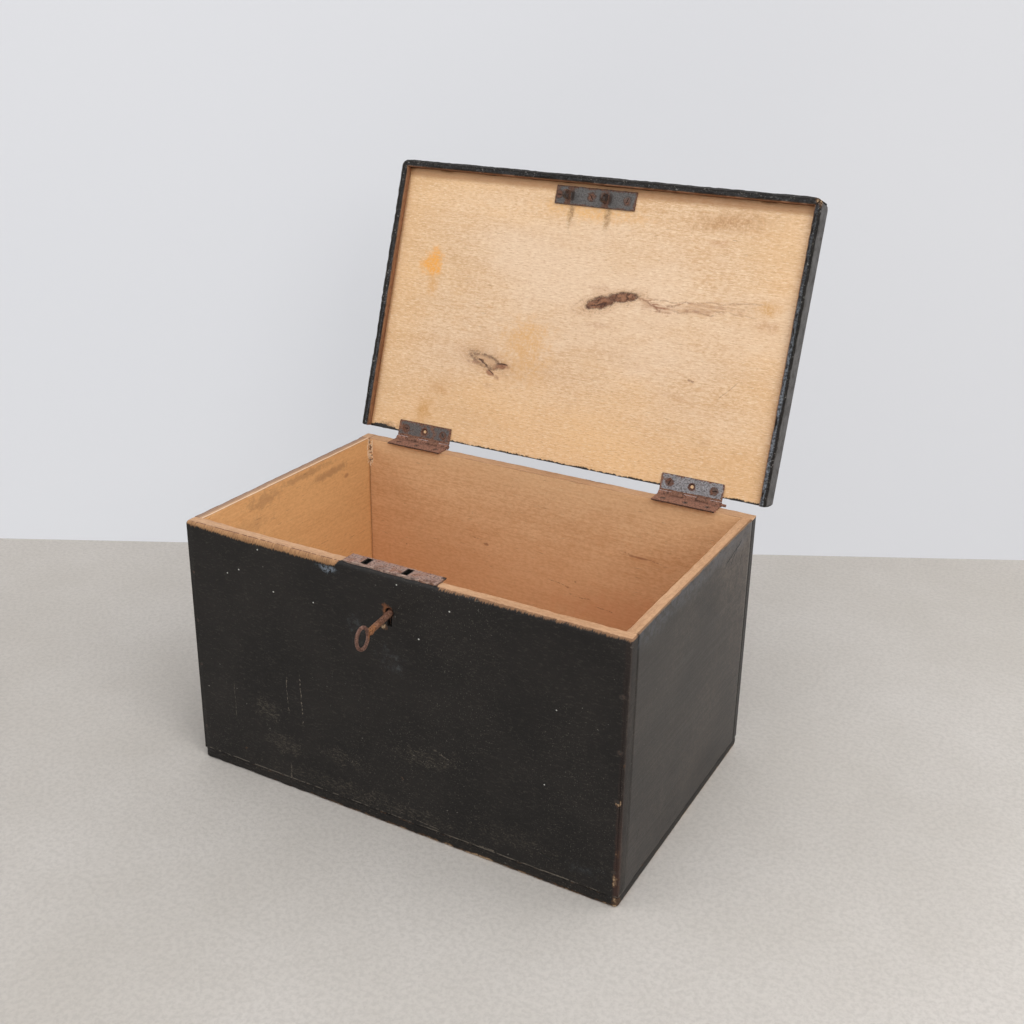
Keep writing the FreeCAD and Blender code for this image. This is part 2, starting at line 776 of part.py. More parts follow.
# The key is made level along Y and then drooped about the point where it passes the front board
def key():
    middle = Vector(keyhole_x, front_face_y - bow_reach, key_axis_z)
    shank_start_y = middle.y + bow_half_width
    shank_length = key_tip_y - shank_start_y
    shank = rod(Vector(keyhole_x, shank_start_y, key_axis_z), y_axis, shank_radius, shank_length)
    collar_y = shank_start_y + bow_bar_radius
    collar = rod(Vector(keyhole_x, collar_y, key_axis_z), y_axis, collar_radius, collar_length)
    bit_back_y = key_tip_y - bit_tip_setback
    bit = block(
        Vector(keyhole_x - bit_thickness / 2, bit_back_y - bit_width, key_axis_z - bit_radius),
        Vector(keyhole_x + bit_thickness / 2, bit_back_y, key_axis_z),
    )
    ward_middle_y = bit_back_y - bit_width / 2
    ward = block(
        Vector(keyhole_x - bit_thickness, ward_middle_y - ward_width / 2, key_axis_z - bit_radius),
        Vector(keyhole_x + bit_thickness, ward_middle_y + ward_width / 2, key_axis_z - bit_radius + ward_depth),
    )
    bore = rod(Vector(keyhole_x, key_tip_y, key_axis_z), -y_axis, key_bore_radius, key_bore_depth)
    whole = bow_ring(middle).fuse([shank, collar, bit.cut(ward)]).cut(bore).removeSplitter()
    whole.rotate(Vector(keyhole_x, front_face_y, key_axis_z), x_axis, key_droop)
    return whole


# Places inside the lock that the bolt and the key share
droop = math.radians(key_droop)
key_axis_z = keyhole_z - keyhole_radius + key_rest_gap + shank_radius / math.cos(droop)
key_rise = (lock_middle_y - front_face_y) * math.tan(droop)
bit_sweep_z = key_axis_z + key_rise
bolt_top_z = link_under_z - staple_length - finger_tip_gap
bolt_low_z = bolt_top_z - bolt_height
bit_lift = bolt_low_z - bit_sweep_z
engaged_turn = math.acos(min(bit_lift / bit_radius, 1))
bit_swing = bit_radius * math.sin(engaged_turn)
bolt_share = bolt_throw * engaged_turn / (2 * math.pi)
talon_half_width = bit_thickness / 2 + bit_swing - bolt_share + talon_clearance
stump_z = (bolt_low_z + talon_depth + bolt_top_z) / 2
key_tip_y = lock_inner_back_y - key_tip_gap
drill_pin_tip_y = lock_inner_back_y - drill_pin_reach
drill_pin_middle_y = (key_tip_y + drill_pin_tip_y) / 2
drill_pin_z = key_axis_z + (drill_pin_middle_y - front_face_y) * math.tan(droop)
drill_pin_start = Vector(keyhole_x, lock_back_y, drill_pin_z)

box_knuckles = [index for index in range(knuckle_count) if index % 2 == 0]
lid_knuckles = [index for index in range(knuckle_count) if index % 2 == 1]

save("bottom_board", bottom_board())
save("front_board", front_board())
save("back_board", back_board())
save("left_side_board", side_board(-1))
save("right_side_board", side_board(1))
save("front_corner_nails", nail_set(front_nail_spots, nail_length))
save("back_corner_nails", nail_set(back_nail_spots, nail_length))
save("bottom_nails", nail_set(bottom_nail_spots, nail_length))

save("left_box_leaf", hinge_leaf(-1, box_leaf_z, box_knuckles, -z_axis))
save("right_box_leaf", hinge_leaf(1, box_leaf_z, box_knuckles, -z_axis))
save("left_hinge_pin", hinge_pin(-1, 0))
save("right_hinge_pin", hinge_pin(1, right_pin_drift))
save("box_leaf_screws", screw_set(box_screw_spots))

save("lock_plate", lock_plate())
save("lock_cap", lock_cap())
save("cap_rivets", group([riveted_rod(place, rivet_radius) for place in rivet_places()]))
save("bolt_stumps", group([riveted_rod(place, stump_radius) for place in stump_places()]))
save("drill_pin", drill_pin())
save("bolt_spring", bolt_spring())
save("lock_screws", screw_set(lock_screw_spots))
save("lock_bolt", lock_bolt())
save("key", key())

lip_spots = front_lip_spots + side_lip_spots[-1] + side_lip_spots[1]
save("lid_board", opened(lid_board()))
save("lid_front_lip", opened(front_lip()))
save("lid_left_lip", opened(side_lip(-1)))
save("lid_right_lip", opened(side_lip(1)))
save("lip_nails", opened(nail_set(lip_spots, lip_nail_length)))
save("left_lid_leaf", opened(hinge_leaf(-1, lid_leaf_z, lid_knuckles, z_axis)))
save("right_lid_leaf", opened(hinge_leaf(1, lid_leaf_z, lid_knuckles, z_axis)))
save("lid_leaf_screws", opened(screw_set(lid_screw_spots)))
save("link_plate", opened(link_plate()))
save("link_staples", opened(group([staple(x) for x in staple_xs])))
save("link_plate_screws", opened(screw_set(link_screw_spots)))
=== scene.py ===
import math

import bmesh
import bpy
from mathutils import Matrix, Vector, noise


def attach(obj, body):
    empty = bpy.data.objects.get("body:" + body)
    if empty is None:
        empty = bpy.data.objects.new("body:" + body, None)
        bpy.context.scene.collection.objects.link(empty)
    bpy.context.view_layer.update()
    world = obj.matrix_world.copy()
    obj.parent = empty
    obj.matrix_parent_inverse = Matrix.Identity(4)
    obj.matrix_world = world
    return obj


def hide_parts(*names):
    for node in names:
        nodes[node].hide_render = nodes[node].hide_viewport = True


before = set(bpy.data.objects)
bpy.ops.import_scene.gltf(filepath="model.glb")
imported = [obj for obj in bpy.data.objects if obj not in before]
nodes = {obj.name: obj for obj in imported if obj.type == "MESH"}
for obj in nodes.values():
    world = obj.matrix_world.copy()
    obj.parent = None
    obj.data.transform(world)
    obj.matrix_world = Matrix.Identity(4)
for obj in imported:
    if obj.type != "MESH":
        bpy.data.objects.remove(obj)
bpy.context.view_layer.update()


# The room: a pale floor and a pale wall behind it, under soft light from above and from both sides,
# with the most from the right. The camera stands in front of the chest and looks down on it.
class Field:
    """A number, colour or place that changes over a surface. Sums and products of it are shader nodes."""

    def __init__(self, socket):
        self.socket = socket
        self.tree = socket.id_data

    def __add__(self, other):
        return calc("ADD", self, other)

    def __sub__(self, other):
        return calc("SUBTRACT", self, other)

    def __rsub__(self, other):
        return calc("SUBTRACT", other, self)

    def __mul__(self, other):
        return calc("MULTIPLY", self, other)

    def __abs__(self):
        return calc("ABSOLUTE", self)


def feed(value, socket):
    """Gives a shader's or node's input a field, a colour or a plain value."""
    if isinstance(value, Field):
        value.tree.links.new(value.socket, socket)
    elif socket.type == "RGBA":
        socket.default_value = (*value, 1.0)
    else:
        socket.default_value = value


def place(tree, kind, inputs, output=0, **settings):
    """Adds a shader node with its inputs, and gives one of its outputs as a field."""
    node = tree.nodes.new(kind)
    for name, value in settings.items():
        setattr(node, name, value)
    for name, value in inputs.items():
        feed(value, node.inputs[name])
    return Field(node.outputs[output])


def tree_of(*values):
    return next(value.tree for value in values if isinstance(value, Field))


def calc(operation, *values):
    return place(tree_of(*values), "ShaderNodeMath", dict(enumerate(values)), operation=operation)


def strongest(masks):
    """The largest of several masks, spot by spot."""
    result = masks[0]
    for mask in masks[1:]:
        result = calc("MAXIMUM", result, mask)
    return result


def grade(value, low, high, to_low=0.0, to_high=1.0):
    """A smooth step from one value to another as the input passes from low to high."""
    inputs = {"Value": value, "From Min": low, "From Max": high, "To Min": to_low, "To Max": to_high}
    return place(value.tree, "ShaderNodeMapRange", inputs, "Result", interpolation_type="SMOOTHSTEP")


def fade(value, low, high):
    """1 up to the low value, falling to 0 at the high one."""
    return grade(value, low, high, 1.0, 0.0)


def tint(share, first, second):
    """Mixes two colours, from all of the first at 0 to all of the second at 1."""
    inputs = {0: share, 6: first, 7: second}
    return place(tree_of(share, first, second), "ShaderNodeMix", inputs, 2, data_type="RGBA")


def blend(share, first, second):
    """Mixes two numbers, from all of the first at 0 to all of the second at 1."""
    return place(share.tree, "ShaderNodeMix", {0: share, 2: first, 3: second})


def stretch(where, scale=(1.0, 1.0, 1.0), shift=(0.0, 0.0, 0.0), turn=(0.0, 0.0, 0.0)):
    inputs = {"Vector": where, "Location": shift, "Rotation": turn, "Scale": scale}
    return place(where.tree, "ShaderNodeMapping", inputs)


def cloud(where, scale, detail=3.0, roughness=0.5, distortion=0.0):
    """Noise around 0.5. The scale is one number, or three that draw the noise out along an axis."""
    if isinstance(scale, tuple):
        where, scale = stretch(where, scale), 1.0
    inputs = {"Vector": where, "Scale": scale, "Detail": detail, "Roughness": roughness,
              "Distortion": distortion}
    return place(where.tree, "ShaderNodeTexNoise", inputs, "Fac")


def along(where, axis):
    return place(where.tree, "ShaderNodeSeparateXYZ", {0: where}, axis)


def new_material(name):
    """A material with its shader and the Object coordinates that its pattern follows."""
    material = bpy.data.materials.new(name)
    material.use_nodes = True
    nodes_of_it = material.node_tree.nodes
    where = Field(nodes_of_it.new("ShaderNodeTexCoord").outputs["Object"])
    return material, nodes_of_it["Principled BSDF"], where


def finish(shader, color, roughness, height, depth):
    """Feeds a finished surface to its shader, with its relief through a bump of the given depth."""
    feed(color, shader.inputs["Base Color"])
    feed(roughness, shader.inputs["Roughness"])
    relief = {"Height": height, "Distance": depth}
    feed(place(color.tree, "ShaderNodeBump", relief, "Normal"), shader.inputs["Normal"])


def mesh_object(name, shape):
    """Turns a finished bmesh into an object at the origin."""
    mesh = bpy.data.meshes.new(name)
    shape.to_mesh(mesh)
    shape.free()
    piece = bpy.data.objects.new(name, mesh)
    bpy.context.scene.collection.objects.link(piece)
    return piece


def give(piece, material):
    piece.data.materials.clear()
    piece.data.materials.append(material)


camera_data = bpy.data.cameras.new("camera")
camera_data.lens = 44.03
camera_data.sensor_width = 36.0
camera_data.shift_x = -0.02005
camera_data.shift_y = -0.03182
camera = bpy.data.objects.new("camera", camera_data)
camera_turn, camera_tilt, camera_roll = (math.radians(angle) for angle in (28.083, 21.307, 1.225))
camera.matrix_world = (
    Matrix.Translation((0.590189, -0.987456, 0.76072))
    @ Matrix.Rotation(camera_turn, 4, "Z")
    @ Matrix.Rotation(math.radians(90) - camera_tilt, 4, "X")
    @ Matrix.Rotation(camera_roll, 4, "Z")
)
bpy.context.scene.collection.objects.link(camera)
bpy.context.scene.camera = camera
bpy.context.scene.view_settings.view_transform = "Standard"

floor_shape = bmesh.new()
bmesh.ops.create_grid(floor_shape, x_segments=1, y_segments=1, size=6.0)
floor = mesh_object("floor", floor_shape)
floor_material, shader, where = new_material("pale floor")
tone = grade(cloud(where, 2.4, 6.0, 0.65), 0.3, 0.7)
color = tint(tone, (0.5, 0.47, 0.435), (0.565, 0.535, 0.505))
grit = grade(cloud(where, 210.0, 4.0, 0.7), 0.38, 0.66, 0.0, 0.36)
finish(shader, tint(grit, color, (0.36, 0.34, 0.32)), blend(tone, 0.85, 0.7), grit, 0.0004)
give(floor, floor_material)

wall_shape = bmesh.new()
bmesh.ops.create_grid(wall_shape, x_segments=1, y_segments=1, size=6.0)
bmesh.ops.rotate(wall_shape, verts=wall_shape.verts, matrix=Matrix.Rotation(math.radians(90), 3, "X"))
bmesh.ops.rotate(wall_shape, verts=wall_shape.verts, matrix=Matrix.Rotation(camera_turn, 3, "Z"))
bmesh.ops.translate(wall_shape, verts=wall_shape.verts, vec=(-0.24, 0.46, 0.0))
wall = mesh_object("wall", wall_shape)
wall_material, shader, where = new_material("pale wall")
tone = grade(cloud(where, 1.5, 2.0), 0.3, 0.7)
# The wall darkens towards the right: painted shade.
color = tint(grade(along(where, "X"), -0.9, 0.5), (0.87, 0.875, 0.9), (0.72, 0.725, 0.745))
color = tint(tone * 0.2, color, (0.86, 0.86, 0.87))
finish(shader, color, blend(tone, 0.75, 0.8), tone, 0.0001)
# Camera rays and reflections see a painted glow of the wall, also darker towards the right, mixed over
# its lit colour.
painted_wall_glow = tint(grade(along(where, "X"), -0.7, 0.5), (0.715, 0.728, 0.765), (0.675, 0.68, 0.712))
painted_wall_glow = tint(tone * 0.3, painted_wall_glow, (0.735, 0.74, 0.765))
tree = where.tree
seen = place(tree, "ShaderNodeLightPath", {}, "Is Camera Ray")
seen = seen + place(tree, "ShaderNodeLightPath", {}, "Is Glossy Ray")
seen = seen + place(tree, "ShaderNodeLightPath", {}, "Is Transmission Ray")
glow = place(tree, "ShaderNodeEmission", {"Color": painted_wall_glow, "Strength": 1.0})
shown = place(tree, "ShaderNodeMixShader", {0: seen * 0.7, 1: Field(shader.outputs[0]), 2: glow})
behind = place(tree, "ShaderNodeNewGeometry", {}, "Backfacing")
clear = place(tree, "ShaderNodeBsdfTransparent", {})
shown = place(tree, "ShaderNodeMixShader", {0: behind, 1: shown, 2: clear})
feed(shown, tree.nodes["Material Output"].inputs["Surface"])
give(wall, wall_material)

world = bpy.data.worlds.new("room")
world.use_nodes = True
bpy.context.scene.world = world
world.node_tree.nodes["Background"].inputs["Color"].default_value = (0.98, 0.99, 1.0, 1.0)
world.node_tree.nodes["Background"].inputs["Strength"].default_value = 0.45


def lamp(name, stand, aim, size, power, color=(1.0, 0.985, 0.965)):
    data = bpy.data.lights.new(name, "AREA")
    data.shape = "SQUARE"
    data.size = size
    data.energy = power
    data.color = color
    light = bpy.data.objects.new(name, data)
    facing = (Vector(aim) - Vector(stand)).to_track_quat("-Z", "Y")
    light.matrix_world = Matrix.Translation(stand) @ facing.to_matrix().to_4x4()
    bpy.context.scene.collection.objects.link(light)


lamp("overhead", (0.3, -0.5, 2.5), (0.0, 0.0, 0.2), 2.0, 20.0)
lamp("right_front", (2.1, -1.1, 1.9), (0.0, 0.0, 0.2), 1.6, 32.0)
lamp("left_front", (-1.9, -1.7, 1.7), (0.0, 0.0, 0.25), 1.6, 15.0)
lamp("right_back", (2.1, 1.0, 1.1), (0.2, 0.0, 0.1), 1.3, 16.0)


# The case: softwood boards, butted and nailed, brushed outside with thin black paint that has rubbed
# through along the arrises. Inside and on the rim the wood is bare and has gone orange with age.
def copy_of(name):
    """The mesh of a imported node, with its doubled corners merged and its flat faces joined up."""
    shape = bmesh.new()
    shape.from_mesh(nodes[name].data)
    bmesh.ops.remove_doubles(shape, verts=shape.verts, dist=0.00001)
    bmesh.ops.dissolve_limit(shape, angle_limit=math.radians(0.5), verts=shape.verts, edges=shape.edges)
    return shape


def cut_across(shape, spot_on_plane, normal):
    everything = shape.verts[:] + shape.edges[:] + shape.faces[:]
    bmesh.ops.bisect_plane(shape, geom=everything, dist=0.000001, plane_co=spot_on_plane, plane_no=normal)


def slice_across(shape, axis, step):
    """Cuts a shape by planes square to an axis, about one every step."""
    levels = [vert.co[axis] for vert in shape.verts]
    low, high = min(levels), max(levels)
    count = max(2, round((high - low) / step))
    normal = Vector([float(number == axis) for number in range(3)])
    for number in range(1, count):
        cut_across(shape, normal * (low + (high - low) * number / count), normal)


def ring_off(shape, axis, reach):
    """Cuts a shape a little way in from each end, so that its broad faces stay flat when its arrises
    are worn."""
    levels = [vert.co[axis] for vert in shape.verts]
    normal = Vector([float(number == axis) for number in range(3)])
    for level in (min(levels) + reach, max(levels) - reach):
        cut_across(shape, normal * level, normal)


def wear_arrises(shape, depth, reach, grain=110.0, seed=0.0, spare=None):
    """Rubs the arrises back unevenly, by up to the given depth, and leaves the flat faces alone."""
    shape.normal_update()
    low = [min(vert.co[axis] for vert in shape.verts) for axis in range(3)]
    high = [max(vert.co[axis] for vert in shape.verts) for axis in range(3)]
    moves = []
    for vert in shape.verts:
        near = [min(vert.co[axis] - low[axis], high[axis] - vert.co[axis]) < reach for axis in range(3)]
        if sum(near) < 2 or (spare and spare(vert.co)):
            continue
        fine = noise.noise(vert.co * grain + Vector((seed, seed, seed)))
        broad = noise.noise(vert.co * grain * 0.22 + Vector((seed, 3.0, seed)))
        rub = depth * min(1.0, max(0.0, 0.32 + 0.6 * fine + 0.45 * broad))
        moves.append((vert, vert.normal * rub))
    for vert, move in moves:
        vert.co -= move


def finished(name, shape, material, angle=40.0):
    """Makes a shape a piece of its material, shaded smooth within its arrises and flat on its faces."""
    piece = mesh_object(name, shape)
    give(piece, material)
    piece.data.polygons.foreach_set("use_smooth", [True] * len(piece.data.polygons))
    piece.data.set_sharp_from_angle(angle=math.radians(angle))
    flat = piece.modifiers.new("flat faces", "WEIGHTED_NORMAL")
    flat.keep_sharp = True
    flat.weight = 90
    return piece


def new_effect(name, **ins):
    """A node group with inputs of the named kinds. Gives its tree and its inputs as fields."""
    tree = bpy.data.node_groups.new(name, "ShaderNodeTree")
    for label, kind in ins.items():
        tree.interface.new_socket(name=label, in_out="INPUT", socket_type="NodeSocket" + kind)
    given = {
        socket.name: Field(socket)
        for socket in tree.nodes.new("NodeGroupInput").outputs if socket.name
    }
    return tree, given


def give_out(tree, **results):
    """Gives the group its outputs: colours by the name Color, and numbers by any other."""
    for label in results:
        kind = "NodeSocketColor" if label == "Color" else "NodeSocketFloat"
        tree.interface.new_socket(name=label, in_out="OUTPUT", socket_type=kind)
    leave = tree.nodes.new("NodeGroupOutput")
    for label, value in results.items():
        feed(value, leave.inputs[label])


def use_effect(group, **inputs):
    """Places a node group in the material that its Vector belongs to, and gives its outputs."""
    node = inputs["Vector"].tree.nodes.new("ShaderNodeGroup")
    node.node_tree = group
    for name, value in inputs.items():
        feed(value, node.inputs[name])
    return {socket.name: Field(socket) for socket in node.outputs}


# Bare wood, planed and left without a finish, with its grain along X: wandering growth bands, fine
# fibres, a mottle, flecks and stains.
grain_tree, given = new_effect(
    "bare wood", Vector="Vector", Pale="Color", Deep="Color", Fleck="Color", Contrast="Float",
    Stain="Float",
)
where = given["Vector"]
bands = calc("SINE", cloud(where, (1.3, 8.0, 8.0), 3.0, 0.55, 0.4) * 42.0)
fibre = cloud(where, (16.0, 430.0, 430.0), 4.0, 0.65)
hair = cloud(where, (60.0, 1300.0, 1300.0), 2.0, 0.5)
mottle = cloud(where, (190.0, 420.0, 420.0), 5.0, 0.75)
share = grade(bands, -0.6, 1.0, 0.0, 0.09)
for part in (grade(fibre, 0.34, 0.72, 0.0, 0.24), grade(hair, 0.38, 0.68, 0.0, 0.16),
             grade(mottle, 0.4, 0.62, 0.0, 0.4)):
    share = share + part
share = share * given["Contrast"]
stain = grade(cloud(where, (4.0, 8.0, 8.0), 5.0, 0.62, 0.8), 0.46, 0.75) * given["Stain"]
color = tint(share + stain, given["Pale"], given["Deep"])
dash = grade(cloud(where, (75.0, 620.0, 620.0), 2.0), 0.66, 0.76)
pore = grade(cloud(where, (300.0, 560.0, 560.0), 2.0), 0.68, 0.78)
flecks = strongest([dash * 0.5, pore * 0.42])
flecks = flecks * grade(cloud(where, 14.0, 2.0), 0.35, 0.6, 0.25, 1.0)
color = tint(flecks, color, given["Fleck"])
height = fibre * 0.6 + mottle * 0.4 - flecks
give_out(grain_tree, Color=color, Height=height)

# Thin black paint: brush streaks along X over the grain, pale specks, a blue-grey tint, and wear that
# shows brown wood first and pale wood where it is deepest.
paint_tree, given = new_effect(
    "rubbed paint", Vector="Vector", Wear="Float", Specks="Float", Scuff="Float", Dust="Float",
    Gloss="Float",
)
where = given["Vector"]
tone = grade(cloud(where, 14.0, 5.0, 0.6), 0.3, 0.72)
streak = cloud(where, (11.0, 300.0, 300.0), 4.0, 0.6)
weave = cloud(where, (240.0, 700.0, 700.0), 3.0, 0.6)
color = tint(tone, (0.0066, 0.0055, 0.0052), (0.014, 0.0116, 0.0104))
color = tint(grade(streak, 0.5, 0.85, 0.0, 0.35), color, (0.034, 0.029, 0.025))
color = tint(grade(weave, 0.54, 0.72, 0.0, 0.6), color, (0.046, 0.039, 0.032))
small = cloud(where, 800.0, 2.0, 0.5)
drift = grade(cloud(where, 11.0, 3.0, 0.5), 0.42, 0.66, 0.15, 0.7)
ticks = grade(small, 0.63, 0.72) * (drift + given["Scuff"] * 0.6)
color = tint(ticks * 0.6, color, (0.19, 0.17, 0.14))
large = cloud(where, 270.0, 2.0, 0.45)
gathered = grade(cloud(where, 13.0, 3.0, 0.6), 0.44, 0.62, 0.08, 1.15)
speck = grade(large, 0.75, 0.785) * given["Specks"] * gathered
color = tint(speck * 0.85, color, (0.4, 0.37, 0.33))
rub = cloud(where, (210.0, 480.0, 480.0), 5.0, 0.8, 0.5)
scuff = grade(rub + given["Scuff"] * 0.16, 0.58, 0.76) * given["Scuff"]
color = tint(scuff * 0.6, color, (0.135, 0.113, 0.084))
blue_grey = grade(cloud(where, 130.0, 5.0, 0.75), 0.42, 0.72) * given["Dust"]
color = tint(blue_grey, color, (0.105, 0.117, 0.128))
worn = cloud(where, 150.0, 6.0, 0.72, 0.5) + given["Wear"]
brown = grade(worn, 0.78, 0.86)
bare = grade(worn, 0.92, 1.02)
color = tint(brown * 0.9, color, (0.085, 0.047, 0.027))
color = tint(bare, color, (0.42, 0.29, 0.175))
height = streak * 0.7 + weave * 0.4 - brown
rough = given["Gloss"] + (streak * 0.16 + brown * 0.25)
give_out(paint_tree, Color=color, Height=height, Roughness=rough)


def close_to(value, line, reach):
    """1 on a line, falling to 0 at the given distance to either side of it."""
    return fade(abs(value - line), 0.0, reach)


def on_plane(first, second):
    return place(first.tree, "ShaderNodeCombineXYZ", {0: first, 1: second})


def distance(where, spot):
    inputs = {0: where, 1: spot}
    return place(where.tree, "ShaderNodeVectorMath", inputs, "Value", operation="DISTANCE")


def turned_about(where, center, angle, plane):
    """Coordinates on the plane of two axes, from a center and turned by an angle."""
    flat = on_plane(along(where, plane[0]), along(where, plane[1]))
    local = stretch(flat, shift=(-center[0], -center[1], 0.0))
    return stretch(local, turn=(0.0, 0.0, -math.radians(angle)))


def patch(where, center, radii, angle=0.0, raggedness=0.3, plane="XZ"):
    """0 in the middle of an oval patch, 1 about its ragged edge, and more outside it."""
    local = turned_about(where, center, angle, plane)
    local = stretch(local, scale=(1.0 / radii[0], 1.0 / radii[1], 0.0))
    away = place(where.tree, "ShaderNodeVectorMath", {0: local}, "Value", operation="LENGTH")
    return away + (cloud(where, 110.0, 5.0, 0.65) - 0.5) * (raggedness * 4.0)


def blot(where, center, radii, angle=0.0, raggedness=0.3, plane="XZ"):
    """1 in the middle of an oval patch, falling to 0 at its ragged edge."""
    return fade(patch(where, center, radii, angle, raggedness, plane), 0.3, 1.0)


def blots(where, spots, plane="XZ"):
    """Several oval patches: the center, radii and strength of each, and its angle and raggedness."""
    return strongest([
        blot(where, center, radii, *shape, plane=plane) * strength
        for center, radii, strength, *shape in spots
    ])


def scratch(where, start, end, width, plane="XZ", breaks=0.5):
    """1 along a thin mark between two points, which wavers and breaks up a little."""
    run = Vector(end) - Vector(start)
    angle = math.degrees(math.atan2(run.y, run.x))
    local = turned_about(where, (Vector(start) + Vector(end)) / 2, angle, plane)
    off = abs(along(local, "Y") + (cloud(where, 60.0, 3.0) - 0.5) * (width * 6.0))
    inside = fade(abs(along(local, "X")), run.length * 0.35, run.length * 0.5)
    broken = grade(cloud(where, 420.0, 3.0, 0.6), breaks - 0.1, breaks + 0.12)
    return fade(off, 0.0, width) * inside * broken


def scratches(where, lines, plane="XZ", breaks=0.5):
    """Several scratches: the start, end, width and strength of each, and how far it is broken up."""
    return strongest([
        scratch(where, start, end, width, plane, *(own or [breaks])) * strength
        for start, end, width, strength, *own in lines
    ])


def ragged(where, scale, amount):
    """A small uneven shift, for a line that isn't quite straight."""
    return (cloud(where, scale, 5.0, 0.65) - 0.5) * amount


rim_z, half_width, half_depth = 0.27, 0.24, 0.1535
inner_x, inner_y = half_width - 0.011, half_depth - 0.0135
bottom_top_z = 0.011
front_arris_y = -half_depth + 0.0035
orange_pale, orange_deep, dark_fleck = (0.72, 0.43, 0.2), (0.42, 0.195, 0.075), (0.13, 0.055, 0.022)
grain_x, grain_y = (0.0, 0.0, 0.0), (0.0, 0.0, math.radians(90.0))


def bare_wood(where, turn, pale=orange_pale, deep=orange_deep, contrast=1.0, stain=0.35, shift=0.3):
    vector = stretch(where, shift=(shift, shift / 3.0, shift / 2.0), turn=turn)
    return use_effect(
        grain_tree, Vector=vector, Pale=pale, Deep=deep, Fleck=dark_fleck, Contrast=contrast, Stain=stain,
    )


def rim_wood(where, turn):
    return bare_wood(where, turn, (0.57, 0.35, 0.205), (0.38, 0.205, 0.105), 1.1, 0.5, 0.7)


def black_paint(where, turn, wear, scuff=0.0, dust=0.0, specks=0.7, gloss=0.4):
    vector = stretch(where, shift=(0.11, 0.37, 0.19), turn=turn)
    return use_effect(
        paint_tree, Vector=vector, Wear=wear, Specks=specks, Scuff=scuff, Dust=dust, Gloss=gloss,
    )


def cover(paint, mask, color):
    """Lays a colour over the paint where the mask is 1."""
    paint["Color"] = tint(mask, paint["Color"], color)


def lay_paint(shader, mask, wood_color, wood_height, paint, depth=0.0003):
    """Feeds a shader bare wood, with the paint over it where the mask is 1."""
    color = tint(mask, wood_color, paint["Color"])
    rough = blend(mask, 0.6, paint["Roughness"])
    finish(shader, color, rough, blend(mask, wood_height, paint["Height"]), depth)


def handled(where, scale, amount, plane):
    """Scuffs and dust of years of moving, in patches of a size set by the scale."""
    patches = grade(cloud(where, scale, 5.0, 0.65, 0.6), 0.47, 0.66, 0.0, amount)
    marks = scratches(where, [
        ((-0.15, 0.06), (-0.09, 0.12), 0.001, 0.5), ((-0.12, 0.18), (-0.02, 0.165), 0.0009, 0.4),
        ((0.03, 0.09), (0.12, 0.13), 0.001, 0.45), ((0.09, 0.21), (0.15, 0.18), 0.0012, 0.5),
        ((-0.04, 0.04), (0.01, 0.055), 0.0008, 0.4), ((0.15, 0.05), (0.19, 0.085), 0.0009, 0.45),
        ((-0.2, 0.225), (-0.17, 0.19), 0.0009, 0.4), ((0.02, 0.235), (0.06, 0.225), 0.001, 0.45),
    ], plane)
    return patches, marks


def cut_for_wear(shape, across, step, reach):
    """Cuts a board across its length, and along its other arrises just past their wear."""
    for axis in across:
        slice_across(shape, axis, step)
    for axis in range(3):
        if axis not in across:
            ring_off(shape, axis, reach + 0.0003)


def worn_board(name, material, step, depth, reach, seed, across=(0,), spare=None):
    shape = copy_of(name)
    cut_for_wear(shape, across, step, reach)
    wear_arrises(shape, depth, reach, seed=seed, spare=spare)
    piece = finished("worn_" + name, shape, material)
    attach(piece, "case")
    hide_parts(name)


def seam_dirt(where, reach=0.0014):
    """Where the paint has cracked and gone pale along the joint with the bottom board."""
    broken = grade(cloud(where, (90.0, 90.0, 30.0), 4.0, 0.7), 0.42, 0.58)
    return close_to(along(where, "Z"), bottom_top_z, reach) * broken


haze_and_sheen_grey = (0.098, 0.076, 0.061)


def side_haze_and_sheen(where):
    """How grey the paint on the chest's ends looks: a grey haze in the paint, and a painted sheen that
    grows towards the top and the back.
    """
    haze = grade(cloud(where, 9.0, 5.0, 0.65), 0.32, 0.68, 0.03, 0.2)
    high_back = along(where, "Y") + along(where, "Z") * 0.6
    # Painted sheen: lighter grey towards the top and the back.
    haze = haze + grade(high_back, 0.14, 0.31, 0.0, 0.52)
    haze = haze * grade(cloud(where, 120.0, 5.0, 0.7), 0.34, 0.66, 0.45, 1.55)
    return haze * grade(cloud(where, 420.0, 5.0, 0.8), 0.38, 0.6, 0.15, 1.75)


# The front board: one softwood board, nailed over the ends of the side boards, with the lock let in
# behind it. Its top arris is rubbed to brown wood, and its paint is scuffed low down and dusty round
# the keyhole.
material, shader, where = new_material("front board")
x, y, z = (along(where, axis) for axis in "XYZ")
inside = bare_wood(where, grain_x, contrast=1.1)
rim = rim_wood(where, grain_x)
wood = tint(grade(z, rim_z - 0.0009, rim_z - 0.0003), inside["Color"], rim["Color"])
hatch = cloud(where, (800.0, 50.0, 50.0), 3.0, 0.8)
arris_brown = tint(grade(hatch, 0.4, 0.7), (0.43, 0.23, 0.105), (0.2, 0.095, 0.042))
arris_brown = tint(grade(x, 0.02, 0.08, 0.0, 0.7), arris_brown, (0.17, 0.085, 0.042))
on_arris = fade(y + ragged(where, 60.0, 0.0008), front_arris_y - 0.0004, front_arris_y + 0.0002)
wood = tint(on_arris * 0.95, wood, arris_brown)
dashed = grade(cloud(where, (330.0, 30.0, 30.0), 3.0), 0.38, 0.5)
arris_line = close_to(y, front_arris_y + 0.0002, 0.001) * dashed
wood = tint(arris_line * grade(x, -0.06, 0.1, 1.0, 0.6), wood, (0.12, 0.045, 0.022))
near_lock = grade(x, -0.061, -0.0535) * fade(x, 0.049, 0.0545)
